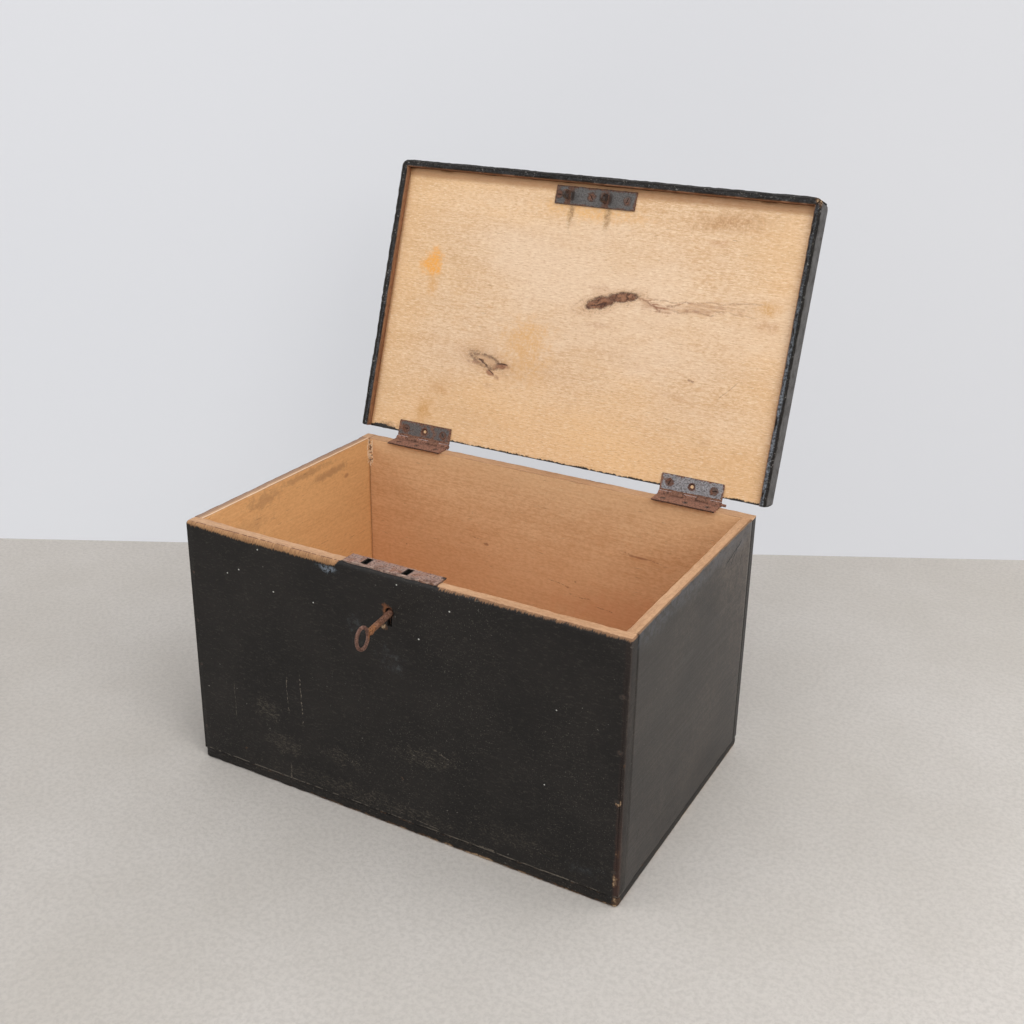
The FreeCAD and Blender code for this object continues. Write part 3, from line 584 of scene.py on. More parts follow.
edge = grade(x, -0.236, -0.17, 0.2672, 0.2652) + grade(x, 0.0, 0.06, 0.0, 0.004)
edge = edge + near_lock * 0.0066
fringe = (hatch - 0.5) * 0.0085 + ragged(where, 45.0, 0.0022)
below = fade(z + fringe - edge, -0.001, 0.0006)
front_line = y - grade(near_lock, 0.75, 1.0) * 0.0018
out = fade(front_line, front_arris_y - 0.0004, front_arris_y + 0.0008)
end_grain = grade(abs(x), half_width - 0.0016, half_width - 0.0011)
wood = tint(end_grain * 0.9, wood, (0.2, 0.105, 0.055))
end_below = fade(z + ragged(where, 90.0, 0.0016), rim_z - 0.0016, rim_z - 0.0008)
mask = strongest([out * below, end_grain * end_below])
right_arris = close_to(x, half_width - 0.0004, 0.003) * grade(z, 0.02, 0.24, 0.26, 0.13)
chips = strongest([
    right_arris,
    close_to(x, -half_width, 0.004) * 0.2,
    blots(where, [
        ((0.2362, 0.03), (0.0042, 0.013), 0.48, 0.0, 0.5),
        ((0.2372, 0.058), (0.003, 0.007), 0.44, 0.0, 0.5),
        ((0.236, 0.11), (0.004, 0.006), 0.46, 0.0, 0.5),
        ((0.239, 0.15), (0.0022, 0.005), 0.32, 0.0, 0.5),
        ((0.235, 0.228), (0.0044, 0.0028), 0.28, 20.0, 0.5),
    ]),
])
on_front = (-0.1512, -0.149)
chips = chips * grade(y, *on_front, 1.0, 0.25)
wear = strongest([
    chips,
    seam_dirt(where) * 0.36,
    blots(where, [
        ((0.001, 0.2335), (0.0105, 0.0105), 0.3),
        ((-0.0035, 0.2165), (0.0085, 0.005), 0.42, -25.0),
        ((0.011, 0.0585), (0.0045, 0.005), 0.34),
        ((-0.02, 0.0665), (0.006, 0.009), 0.22),
        ((-0.179, 0.028), (0.008, 0.004), 0.26),
        ((0.066, 0.086), (0.005, 0.003), 0.24),
    ]),
])
scuff = blots(where, [
    ((-0.149, 0.084), (0.03, 0.022), 0.75, 0.0, 0.6),
    ((-0.13, 0.05), (0.034, 0.018), 0.75, 0.0, 0.6),
    ((-0.06, 0.058), (0.04, 0.014), 0.7, 0.0, 0.6),
    ((0.04, 0.09), (0.06, 0.016), 0.7, 8.0, 0.6),
    ((0.13, 0.035), (0.06, 0.02), 0.6, 0.0, 0.6),
    ((-0.03, 0.022), (0.2, 0.016), 0.65, 0.0, 0.6),
])
dust = blots(where, [
    ((-0.037, 0.206), (0.011, 0.018), 0.36, 0.0, 0.7),
    ((0.002, 0.182), (0.02, 0.016), 0.34, 0.0, 0.7),
    ((0.205, 0.03), (0.026, 0.01), 0.22, 0.0, 0.6),
])
paint = black_paint(where, grain_x, wear, scuff, dust, 0.45, 0.5)
marks = scratches(where, [
    ((-0.1229, 0.136), (-0.1236, 0.082), 0.0008, 0.6, 0.54),
    ((-0.1064, 0.14), (-0.1064, 0.076), 0.001, 0.65, 0.54),
    ((-0.1915, 0.104), (-0.1915, 0.06), 0.001, 0.22),
    ((-0.1252, 0.031), (-0.124, 0.011), 0.001, 0.55),
    ((0.078, 0.0125), (0.118, 0.014), 0.0008, 0.6),
    ((0.0, 0.02), (0.058, 0.014), 0.0006, 0.45),
    ((0.02, 0.0125), (0.215, 0.0125), 0.0007, 0.4, 0.5),
    ((0.045, 0.102), (0.066, 0.096), 0.0012, 0.35, 0.52),
])
red_arris = grade(x + ragged(where, 120.0, 0.005), 0.2335, 0.2362) * grade(z, 0.02, 0.13, 0.75, 0.15)
cover(paint, red_arris * fade(y, *on_front), (0.052, 0.023, 0.016))
joint = close_to(z, 0.0124, 0.0009) * grade(cloud(where, (120.0, 30.0, 30.0), 4.0, 0.7), 0.44, 0.56)
cover(paint, joint * 0.75, (0.19, 0.165, 0.135))
cover(paint, marks, (0.3, 0.25, 0.19))
flecks = strongest([fade(patch(where, center, (0.0009, 0.0008), 0.0, 0.45), 0.5, 1.0) for center in (
    (-0.1899, 0.2259), (-0.175, 0.233), (-0.1334, 0.2197), (-0.0858, 0.2206), (-0.1501, 0.26),
    (0.0652, 0.2509), (0.0325, 0.2144), (0.0095, 0.263), (0.1734, 0.1845), (0.1636, 0.1051),
)])
cover(paint, flecks, (0.66, 0.65, 0.62))
smudge = blot(where, (-0.069, 0.26), (0.017, 0.0048), 0.0, 0.55)
smudge = smudge * grade(cloud(where, 420.0, 4.0, 0.7), 0.4, 0.6)
cover(paint, smudge * 0.75, (0.21, 0.25, 0.3))
nail_levels = (0.0378, 0.112, 0.162, 0.216)
heads = strongest([blot(where, (0.2345, level), (0.0042, 0.0036), 0.0, 0.2) for level in nail_levels])
cover(paint, heads * 0.45, (0.075, 0.056, 0.047))
notches = strongest([scratch(where, start, end, width, breaks=0.36) for start, end, width in (
    ((0.159, 0.033), (0.174, 0.024), 0.0014), ((0.136, 0.04), (0.142, 0.037), 0.0012),
)])
cover(paint, notches, (0.003, 0.0025, 0.002))
rust_ring = blot(where, (0.0002, 0.235), (0.0078, 0.0078), 0.0, 0.9)
rust_ring = rust_ring * fade(y, -half_depth + 0.0004, -half_depth + 0.001)
cover(paint, rust_ring * 0.8, (0.23, 0.085, 0.032))
slot_middles = (-0.0315, 0.013)
slot_shade = strongest([close_to(x, middle, 0.012) for middle in slot_middles])
slot_shade = slot_shade * grade(y, -0.1495, -0.1475)
slot_shade = grade(slot_shade * fade(z, rim_z - 0.001, rim_z - 0.0006), 0.1, 0.4)
slot_shade = slot_shade * fade(y, -0.1412, -0.1402)
wood = tint(slot_shade, wood, (0.012, 0.008, 0.006))
# The front board's end grain takes the same grey haze and painted sheen as the side boards.
cover(paint, end_grain * side_haze_and_sheen(where), haze_and_sheen_grey)
paint["Height"] = paint["Height"] - strongest([notches, marks]) * 2.0
lay_paint(shader, mask, wood, inside["Height"], paint)
shader.inputs["Specular IOR Level"].default_value = 0.33
worn_board(
    "front_board", material, 0.0032, 0.001, 0.0045, 1.0,
    spare=lambda spot: spot.y > -0.146 and spot.z < rim_z - 0.008,
)


# The back board: one softwood board, nailed over the ends of the side boards. It is bare inside, where
# it is darker and redder towards the bottom in painted shade and paler just under the rim in painted
# light, and painted black outside, where it is scuffed and dusty.
material, shader, where = new_material("back board")
x, y, z = (along(where, axis) for axis in "XYZ")
inside = bare_wood(where, grain_x, (0.86, 0.575, 0.33), (0.62, 0.335, 0.16), 1.15, 0.26, 0.9)
# Darker and redder towards the bottom: painted shade.
wood = tint(grade(z, 0.11, 0.25, 0.4, 0.0), inside["Color"], (0.72, 0.37, 0.185))
# Paler just under the rim: painted light.
wood = tint(grade(z, 0.235, 0.262, 0.0, 0.3), wood, (0.88, 0.6, 0.34))
rosy = blot(where, (0.13, 0.125), (0.14, 0.04), 4.0, 0.5)
wood = tint(rosy * 0.35, wood, (0.7, 0.33, 0.17))
dashes = strongest([scratch(where, start, end, 0.0012, breaks=0.46) for start, end in (
    ((0.036, 0.136), (0.066, 0.133)), ((0.07, 0.128), (0.094, 0.125)),
    ((0.095, 0.202), (0.16, 0.196)), ((-0.09, 0.178), (-0.072, 0.176)),
    ((0.01, 0.147), (0.04, 0.144)),
)])
spots = strongest([blot(where, center, radii, 0.0, 0.35) for center, radii in (
    ((-0.0697, 0.171), (0.004, 0.0022)), ((-0.179, 0.146), (0.0016, 0.0014)),
    ((0.036, 0.143), (0.0025, 0.0018)), ((0.045, 0.152), (0.002, 0.0015)),
    ((0.12, 0.199), (0.016, 0.002)),
)])
wood = tint(strongest([dashes, spots]) * 0.7, wood, (0.34, 0.14, 0.065))
rim = rim_wood(where, grain_x)
wood = tint(grade(z, rim_z - 0.0009, rim_z - 0.0003), wood, rim["Color"])
# A dark line down the inner corner with the left side board: painted shade.
wood = tint(close_to(x, -inner_x, 0.0016) * 0.65, wood, (0.2, 0.09, 0.045))
corner = close_to(x, -inner_x, 0.0075) * grade(z, 0.232, 0.24)
corner = corner * fade(z, rim_z - 0.002, rim_z - 0.0012)
crumb = corner * grade(cloud(where, 430.0, 3.0), 0.45, 0.53)
wood = tint(grade(crumb, 0.15, 0.5), wood, (0.93, 0.8, 0.62))
dark_crumb = corner * grade(cloud(where, 380.0, 3.0), 0.53, 0.58)
wood = tint(grade(dark_crumb, 0.2, 0.5, 0.0, 0.85), wood, (0.14, 0.06, 0.03))
outer_face = grade(y, half_depth - 0.0016, half_depth - 0.0009)
end_grain = grade(abs(x), half_width - 0.0011, half_width - 0.0007)
below = fade(z + ragged(where, 60.0, 0.003), rim_z - 0.0016, rim_z - 0.0008)
mask = strongest([outer_face, end_grain]) * below
wear = strongest([close_to(abs(x), half_width, 0.004) * 0.18, seam_dirt(where) * 0.25])
scuffs, marks = handled(where, 8.0, 0.75, "XZ")
paint = black_paint(where, grain_x, wear, scuffs, scuffs * 0.3, 0.5, 0.46)
rubbed_line = (0.22, 0.18, 0.14)
cover(paint, marks, rubbed_line)
lay_paint(shader, mask, wood, inside["Height"], paint)
worn_board(
    "back_board", material, 0.004, 0.0008, 0.0035, 2.0,
    spare=lambda spot: spot.y < 0.146 and spot.z < rim_z - 0.008,
)


# The side boards: softwood, butted between the front and the back and nailed through both, with their
# grain along Y. The left one is stained grey inside under the rim, and the right one has a long
# scratch outside.
def side_board(name, inner_marks, outer_marks, seed):
    material, shader, where = new_material(name.replace("_", " "))
    x, y, z = (along(where, axis) for axis in "XYZ")
    reach = abs(x)
    inside = bare_wood(where, grain_y, (0.75, 0.45, 0.205), (0.53, 0.275, 0.108), 0.85, 0.4, 0.2 + seed)
    # Darker and redder towards the bottom inside the case: painted shade.
    wood = tint(grade(z, 0.08, 0.22, 0.35, 0.0), inside["Color"], (0.66, 0.325, 0.13))
    wood = inner_marks(where, wood)
    rim = rim_wood(where, grain_y)
    outer_line = grade(reach, half_width - 0.0024, half_width - 0.0008)
    rim_color = tint(outer_line * 0.9, rim["Color"], (0.22, 0.12, 0.065))
    left_side = fade(x, -0.1, 0.0)
    outer_part = grade(reach + ragged(where, 90.0, 0.004), half_width - 0.008, half_width - 0.005)
    rim_color = tint(outer_part * left_side * 0.75, rim_color, (0.25, 0.155, 0.108))
    inner_line = close_to(reach, inner_x + 0.0014, 0.0014) * left_side
    rim_color = tint(inner_line * 0.7, rim_color, (0.86, 0.66, 0.48))
    wood = tint(grade(z, rim_z - 0.0009, rim_z - 0.0004), wood, rim_color)
    wood = tint(grade(reach, half_width - 0.0026, half_width - 0.0016), wood, (0.2, 0.11, 0.06))
    below = fade(z + ragged(where, 70.0, 0.0022), rim_z - 0.001, rim_z - 0.0003)
    mask = grade(reach, half_width - 0.0018, half_width - 0.0011) * below
    wear = strongest([
        close_to(y, -half_depth + 0.0137, 0.001) * 0.14,
        close_to(z, rim_z - 0.0008, 0.003) * 0.24,
        seam_dirt(where) * 0.24,
    ])
    paint = black_paint(where, grain_y, wear, 0.3, 0.0, 0.3, 0.34)
    # Grey haze, with a painted sheen towards the top and the back.
    cover(paint, side_haze_and_sheen(where), haze_and_sheen_grey)
    blue_rim = grade(z + ragged(where, 30.0, 0.02), 0.246, 0.262)
    blue_rim = blue_rim * grade(cloud(where, 160.0, 5.0, 0.75), 0.38, 0.62)
    cover(paint, blue_rim * 0.5, (0.085, 0.094, 0.108))
    cuts = outer_marks(where)
    cover(paint, cuts, (0.004, 0.004, 0.005))
    paint["Height"] = paint["Height"] - cuts * 5.0
    lay_paint(shader, mask, wood, inside["Height"], paint)
    shader.inputs["Specular IOR Level"].default_value = 0.38
    worn_board(name, material, 0.004, 0.0007, 0.003, seed, (1,), lambda spot: abs(spot.y) > 0.134)


def left_inner_marks(where, wood):
    greys = blots(where, [
        ((0.066, 0.2515), (0.042, 0.0065), 0.5, 2.0, 0.6),
        ((-0.05, 0.257), (0.036, 0.01), 0.4, 0.0, 0.6),
        ((0.02, 0.263), (0.06, 0.005), 0.4, 0.0, 0.6),
        ((-0.08, 0.235), (0.05, 0.012), 0.22, 0.0, 0.6),
    ], "YZ")
    wood = tint(greys, wood, (0.29, 0.165, 0.08))
    corner = grade(along(where, "Y"), 0.134, 0.1385) * grade(along(where, "Z"), 0.236, 0.242)
    crumb = corner * grade(cloud(where, 400.0, 3.0), 0.46, 0.54)
    wood = tint(grade(crumb, 0.15, 0.5, 0.0, 0.9), wood, (0.9, 0.74, 0.54))
    spot_there = blot(where, (0.094, 0.2385), (0.006, 0.0035), 0.0, 0.4, "YZ")
    return tint(spot_there * 0.5, wood, (0.28, 0.11, 0.05))


def right_inner_marks(where, wood):
    worn_there = blot(where, (0.04, 0.12), (0.07, 0.04), 10.0, 0.6, "YZ")
    return tint(worn_there * 0.25, wood, (0.62, 0.31, 0.13))


def right_outer_marks(where):
    return scratches(where, [
        ((0.066, 0.2475), (0.112, 0.259), 0.0014, 1.0, 0.38),
        ((0.082, 0.243), (0.1, 0.256), 0.0012, 0.8, 0.4),
        ((0.11, 0.233), (0.118, 0.25), 0.0008, 0.5, 0.45),
        ((-0.12, 0.05), (-0.114, 0.062), 0.0007, 0.5, 0.45),
    ], "YZ")


def left_outer_marks(where):
    return scratch(where, (-0.05, 0.12), (0.02, 0.135), 0.001, "YZ", 0.46) * 0.6


side_board("left_side_board", left_inner_marks, left_outer_marks, 3.0)
side_board("right_side_board", right_inner_marks, right_outer_marks, 4.0)


# The bottom board: one softwood board, nailed up under the four sides, bare inside and painted at its
# edges. Its corners and its arris on the floor are rubbed.
material, shader, where = new_material("bottom board")
x, y, z = (along(where, axis) for axis in "XYZ")
inside = bare_wood(where, grain_x, (0.6, 0.34, 0.15), (0.36, 0.165, 0.066), 1.0, 0.5, 0.5)
ends = grade(abs(x), inner_x, inner_x + 0.0005)
faces = grade(abs(y), inner_y, inner_y + 0.0005)
mask = strongest([ends, faces])
corner = close_to(x, half_width, 0.02) * close_to(y, -half_depth, 0.022)
wear = strongest([
    corner * 0.34,
    close_to(z + ragged(where, 90.0, 0.004), 0.0, 0.007) * grade(x, -0.2, 0.05, 0.3, 0.5),
    seam_dirt(where, 0.0016) * 0.32,
])
paint = black_paint(where, grain_x, wear, 0.4, gloss=0.5)
lay_paint(shader, mask, inside["Color"], inside["Height"], paint)
shader.inputs["Specular IOR Level"].default_value = 0.3
worn_board("bottom_board", material, 0.004, 0.0011, 0.004, 5.0)


# The nails: forged iron with flat heads, driven through the boards at every joint, punched just under
# the surface and painted over with the boards.
material, shader, where = new_material("painted nail")
tone = cloud(where, 300.0, 4.0)
color = tint(grade(tone, 0.4, 0.7), (0.022, 0.017, 0.015), (0.08, 0.05, 0.036))
finish(shader, color, grade(tone, 0.3, 0.7, 0.5, 0.75), tone, 0.0001)
for name in ("front_corner_nails", "back_corner_nails", "bottom_nails", "lip_nails"):
    give(nodes[name], material)


# The hinges: sheet iron leaves, rolled into knuckles round an iron pin. The iron has gone slate grey,
# and brown with rust on the knuckles, at the edges and round the screws.
rust_tree, given = new_effect(
    "rusted iron", Vector="Vector", Steel="Color", Rust="Color", Amount="Float", Grains="Float",
)
where = given["Vector"]
coarse = cloud(where, 95.0, 4.0, 0.6)
fine = cloud(where, 520.0, 4.0, 0.65)
grown = coarse + fine * 0.5 + given["Amount"]
rusty = grade(grown, 0.8, 1.05)
steel = tint(grade(fine, 0.42, 0.66, 0.0, 0.75), given["Steel"], (0.055, 0.05, 0.05))
light = grade(cloud(where, 620.0, 3.0), 0.54, 0.64) * given["Grains"]
steel = tint(light, steel, (0.42, 0.42, 0.44))
brown = tint(grade(fine, 0.42, 0.66), given["Rust"], (0.075, 0.032, 0.019))
brown = tint(grade(coarse, 0.55, 0.75, 0.0, 0.5), brown, (0.26, 0.13, 0.075))
give_out(
    rust_tree, Color=tint(rusty, steel, brown), Height=coarse * 0.5 + fine,
    Roughness=blend(rusty, 0.5, 0.82), Metallic=blend(rusty, 0.35, 0.0),
)


def rusted_iron(
    shader, where, steel, rust, amount, depth=0.0002, grains=0.15, mark=0.0,
    mark_and_shade_color=(0.05, 0.022, 0.013),
):
    """Feeds the iron's surface to its shader, with a darker layer laid over it: rust on some pieces and
    painted shade on others.
    """
    surface = use_effect(rust_tree, Vector=where, Steel=steel, Rust=rust, Amount=amount, Grains=grains)
    color = tint(mark, surface["Color"], mark_and_shade_color)
    finish(shader, color, surface["Roughness"], surface["Height"], depth)
    feed(surface["Metallic"], shader.inputs["Metallic"])


def iron_material(name, steel, rust, amount, depth=0.0002):
    material, shader, where = new_material(name)
    rusted_iron(shader, where, steel, rust, amount, depth)
    return material


lid_pivot = Vector((0.0, 0.1567, 0.27155))
lid_angle = math.radians(108.0)
turn_closed = Matrix.Rotation(lid_angle, 4, "X")
to_closed = Matrix.Translation(lid_pivot) @ turn_closed @ Matrix.Translation(-lid_pivot)


def lid_place(where):
    """Object coordinates turned with the open lid: X along it, Y from the pivot to its front edge, Z
    out of its inner face."""
    moved = stretch(where, shift=tuple(-lid_pivot))
    turned = stretch(moved, turn=(lid_angle, 0.0, 0.0))
    return stretch(turned, scale=(1.0, -1.0, -1.0))


plate_end_y = lid_pivot.y - 0.0028 - 0.0003


def worn_iron(name, material, step, depth, reach, seed, body, across=(0, 1), turned=False):
    """A copy of a packed iron piece with ragged arrises and a slightly pitted skin."""
    ragged_end, pit_depth = 0.00022, 0.00012
    shape = copy_of(name)
    if turned:
        bmesh.ops.transform(shape, matrix=to_closed, verts=shape.verts)
    for axis in across:
        slice_across(shape, axis, step)
    wear_arrises(shape, depth, reach, 420.0, seed)
    for vert in shape.verts:
        if "leaf" in name and abs(vert.co.y - plate_end_y) < 0.0001:
            vert.co.y += ragged_end * min(1.0, 1.3 + noise.noise(vert.co * 420.0))
    shape.normal_update()
    for vert in shape.verts:
        vert.co -= vert.normal * pit_depth * max(0.0, noise.noise(vert.co * 500.0) + 0.3)
    if turned:
        bmesh.ops.transform(shape, matrix=to_closed.inverted(), verts=shape.verts)
    piece = finished("worn_" + name, shape, material, 50.0)
    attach(piece, body)
    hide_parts(name)


hinge_middle_x = 0.1655
leaf_half = 0.035
leaf_width = 0.0214
hole_offset = 0.025
hole_reach = 0.0122


def off_hole(local, offset):
    """The distance on a leaf from the middle of one of its holes."""
    x = abs(along(local, "X"))
    flat = on_plane(x, along(local, "Y"))
    hole = (hinge_middle_x + offset, hole_reach, 0.0)
    return distance(flat, hole)


def leaf_rust(local):
    """How rusty a leaf is: most on its knuckles, at its edges and round its holes."""
    x = abs(along(local, "X"))
    v = along(local, "Y")
    holes = [close_to(off_hole(local, offset), 0.0, 0.007) for offset in (-hole_offset, 0.0, hole_offset)]
    return strongest([
        fade(v, 0.0035, 0.0062) * 0.55,
        close_to(x, hinge_middle_x - leaf_half, 0.0035) * 0.3,
        close_to(x, hinge_middle_x + leaf_half, 0.0035) * 0.3,
        close_to(v, leaf_width, 0.003) * 0.26,
        strongest(holes) * 0.5,
    ])


for side, steel in (("left", (0.125, 0.112, 0.108)), ("right", (0.31, 0.305, 0.322))):
    material, shader, where = new_material(side + " lid leaf")
    local = lid_place(where)
    amount = leaf_rust(local) + (-0.02 if side == "right" else 0.08)
    round_hole = off_hole(local, 0.0) + ragged(local, 300.0, 0.0016)
    ring = grade(round_hole, 0.0036, 0.0046, 0.9, 0.0)
    for offset in (-hole_offset, hole_offset):
        round_screw = off_hole(local, offset) + ragged(local, 300.0, 0.002)
        ring = strongest([ring, close_to(round_screw, 0.004, 0.0012) * 0.75])
    grains = 0.95 if side == "right" else 0.16
    rust, ring_rust = (0.235, 0.11, 0.068), (0.085, 0.03, 0.016)
    rusted_iron(shader, local, steel, rust, amount, 0.0002, grains, ring, ring_rust)
    worn_iron(side + "_lid_leaf", material, 0.0022, 0.0006, 0.002, 6.0, "lid", turned=True)
box_leaf_iron, shader, where = new_material("rusted box leaf")
inner_edge_y = lid_pivot.y - leaf_width
y = along(where, "Y")
# A painted shadow line along the leaf's inner edge, where it overhangs the rim, and a dark seam where it
# rolls into its knuckle.
edge_shadow_and_seam = y + ragged(where, 260.0, 0.0035)
edge_shadow_and_seam = grade(edge_shadow_and_seam, inner_edge_y + 0.0006, inner_edge_y + 0.0018, 0.85, 0.0)
dark_seam = close_to(y, lid_pivot.y - 0.0046, 0.0012) * 0.7
edge_shadow_and_seam = strongest([edge_shadow_and_seam, dark_seam])
rusted_iron(shader, where, (0.15, 0.11, 0.095), (0.29, 0.135, 0.088), 0.42, 0.0003, 0.1, edge_shadow_and_seam)
for side in ("left", "right"):
    worn_iron(side + "_box_leaf", box_leaf_iron, 0.0022, 0.0006, 0.002, 7.0, "case")
give(nodes["left_hinge_pin"], box_leaf_iron)
give(nodes["right_hinge_pin"], box_leaf_iron)


def screw_material(name, on_lid):
    """Rusty heads, their slots darkened with painted shade. The slots' floors lie a little under the
    level of the heads.
    """
    material, shader, where = new_material(name.replace("_", " "))
    if on_lid:
        local = lid_place(where)
        top = max(lid_pivot.z - (to_closed @ vert.co).z for vert in nodes[name].data.vertices)
    else:
        local = where
        top = max(vert.co.z for vert in nodes[name].data.vertices)
    slot = fade(along(local, "Z"), top - 0.00022, top - 0.00008)
    steel, rust, slot_shade_color = (0.12, 0.085, 0.07), (0.175, 0.076, 0.047), (0.014, 0.007, 0.005)
    rusted_iron(shader, local, steel, rust, 0.22, 0.0003, 0.1, slot, slot_shade_color)
    give(nodes[name], material)


screw_material("box_leaf_screws", False)
screw_material("lid_leaf_screws", True)
lock_screw_iron = iron_material("rusted screw", (0.15, 0.12, 0.11), (0.23, 0.098, 0.058), 0.26, 0.0003)
give(nodes["lock_screws"], lock_screw_iron)


# The lock: a folded iron plate, whose lip with two slots lies on the rim, and a cap behind it that
# holds the bolt. The lip is rubbed grey-brown and bright along its front edge.
material, shader, where = new_material("lock plate")
x, y = along(where, "X"), along(where, "Y")
lip_front_y, slots_y = -0.1488, -0.1407
front_edge = close_to(y, lip_front_y, 0.0022) * grade(cloud(where, 240.0, 3.0), 0.4, 0.55)
steel, rust = (0.3, 0.18, 0.14), (0.27, 0.13, 0.088)
surface = use_effect(rust_tree, Vector=where, Steel=steel, Rust=rust, Amount=0.12, Grains=0.1)
color = tint(front_edge * 0.6, surface["Color"], (0.5, 0.36, 0.29))
# Dark along the plate's two ends: painted shadow lines.
ends = strongest([close_to(x, end, 0.0016) for end in (-0.0532, 0.0494)])
color = tint(ends * 0.7, color, (0.07, 0.035, 0.022))
nick = close_to(distance(on_plane(x, y), (0.048, -0.1335, 0.0)), 0.0, 0.0036)
color = tint(grade(nick, 0.1, 0.4), color, (0.018, 0.01, 0.007))
# Painted shade down the insides of the two slots.
plate_slot_shade = strongest([fade(abs(x - middle), 0.0034, 0.004) for middle in slot_middles])
plate_slot_shade = plate_slot_shade * fade(abs(y - slots_y), 0.006, 0.0066)
color = tint(plate_slot_shade, color, (0.012, 0.008, 0.006))
finish(shader, color, surface["Roughness"], surface["Height"], 0.0002)
worn_iron("lock_plate", material, 0.0025, 0.0005, 0.0016, 8.0, "case", across=(0,))
# The lock's inner parts, seen only down the slots, are very dark: greased iron and painted shade.
shaded_inner_iron = iron_material("greased lock iron in painted shade", (0.06, 0.056, 0.054), (0.055, 0.028, 0.017), -0.02)
for name in ("lock_cap", "cap_rivets", "bolt_stumps", "drill_pin", "lock_bolt", "bolt_spring"):
    give(nodes[name], shaded_inner_iron)


# The lid: one wide pale board, planed inside, with two knots, and strips nailed round its front and
# sides. Its top, its strips and its lower edge are painted black.
lid_inner = -0.00155
lid_front_v, lid_half_width = 0.311, 0.2408


def knot_lobe(local, center, radii, angle):
    """One lobe of a knot: its ragged heart, its dark outline, and rings inside and around it."""
    away = patch(local, center, radii, angle, 0.3, "XY")
    heart = fade(away, 0.8, 1.0)
    outline = close_to(away, 0.9, 0.42) * grade(cloud(local, 300.0, 4.0, 0.7), 0.36, 0.52)
    halo = fade(away, 0.9, 2.6)
    rings = grade(calc("SINE", away * 15.0), 0.1, 1.0)
    return heart, outline, rings * halo, halo


material, shader, where = new_material("lid board")
local = lid_place(where)
heart_a, outline_a, rings_a, halo_a = knot_lobe(local, (0.026, 0.1866), (0.0172, 0.0062), 19.0)
heart_b, outline_b, rings_b, halo_b = knot_lobe(local, (0.051, 0.1958), (0.0175, 0.005), 9.0)
heart_c, outline_c, rings_c, halo_c = knot_lobe(local, (-0.101, 0.1045), (0.0215, 0.007), -12.0)
halo = strongest([halo_a, halo_b, halo_c])
swirl = place(local.tree, "ShaderNodeCombineXYZ", {1: halo * 0.006})
flow = place(local.tree, "ShaderNodeVectorMath", {0: local, 1: swirl}, operation="ADD")
surface = bare_wood(flow, grain_x, (0.89, 0.655, 0.435), (0.67, 0.41, 0.21), 1.5, 0.5, 0.6)
color = surface["Color"]
x, v = along(local, "X"), along(local, "Y")
warm = strongest([
    grade(v, 0.02, 0.12, 0.55, 0.0),
    grade(abs(x), 0.16, 0.24, 0.0, 0.4),
    grade(v + x * -0.25, 0.26, 0.33, 0.0, 0.35),
])
color = tint(warm, color, (0.88, 0.555, 0.275))
soft = grade(cloud(local, (7.0, 12.0, 1.0), 5.0, 0.65), 0.48, 0.72, 0.0, 0.5)
color = tint(soft, color, (0.72, 0.465, 0.245))
broad = cloud(stretch(local, shift=(0.7, 0.2, 0.0)), (3.0, 6.0, 1.0), 5.0, 0.6)
color = tint(grade(broad, 0.5, 0.7, 0.0, 0.4), color, (0.93, 0.6, 0.3))
middle = grade(x, -0.23, -0.1) * fade(abs(v - 0.185), 0.06, 0.14)
bleached = cloud(stretch(local, shift=(0.2, 0.5, 0.0)), (4.0, 8.0, 1.0), 5.0, 0.65)
color = tint(grade(bleached, 0.36, 0.62, 0.05, 0.55) * middle, color, (0.88, 0.68, 0.5))
speckle = cloud(local, (150.0, 900.0, 1.0), 4.0, 0.75)
color = tint(grade(speckle, 0.53, 0.68, 0.0, 0.7), color, (0.52, 0.29, 0.13))
color = tint(grade(speckle, 0.47, 0.32, 0.0, 0.7), color, (1.0, 0.82, 0.62))
worked = grade(cloud(local, 420.0, 4.0, 0.7), 0.36, 0.62, 0.35, 1.15)
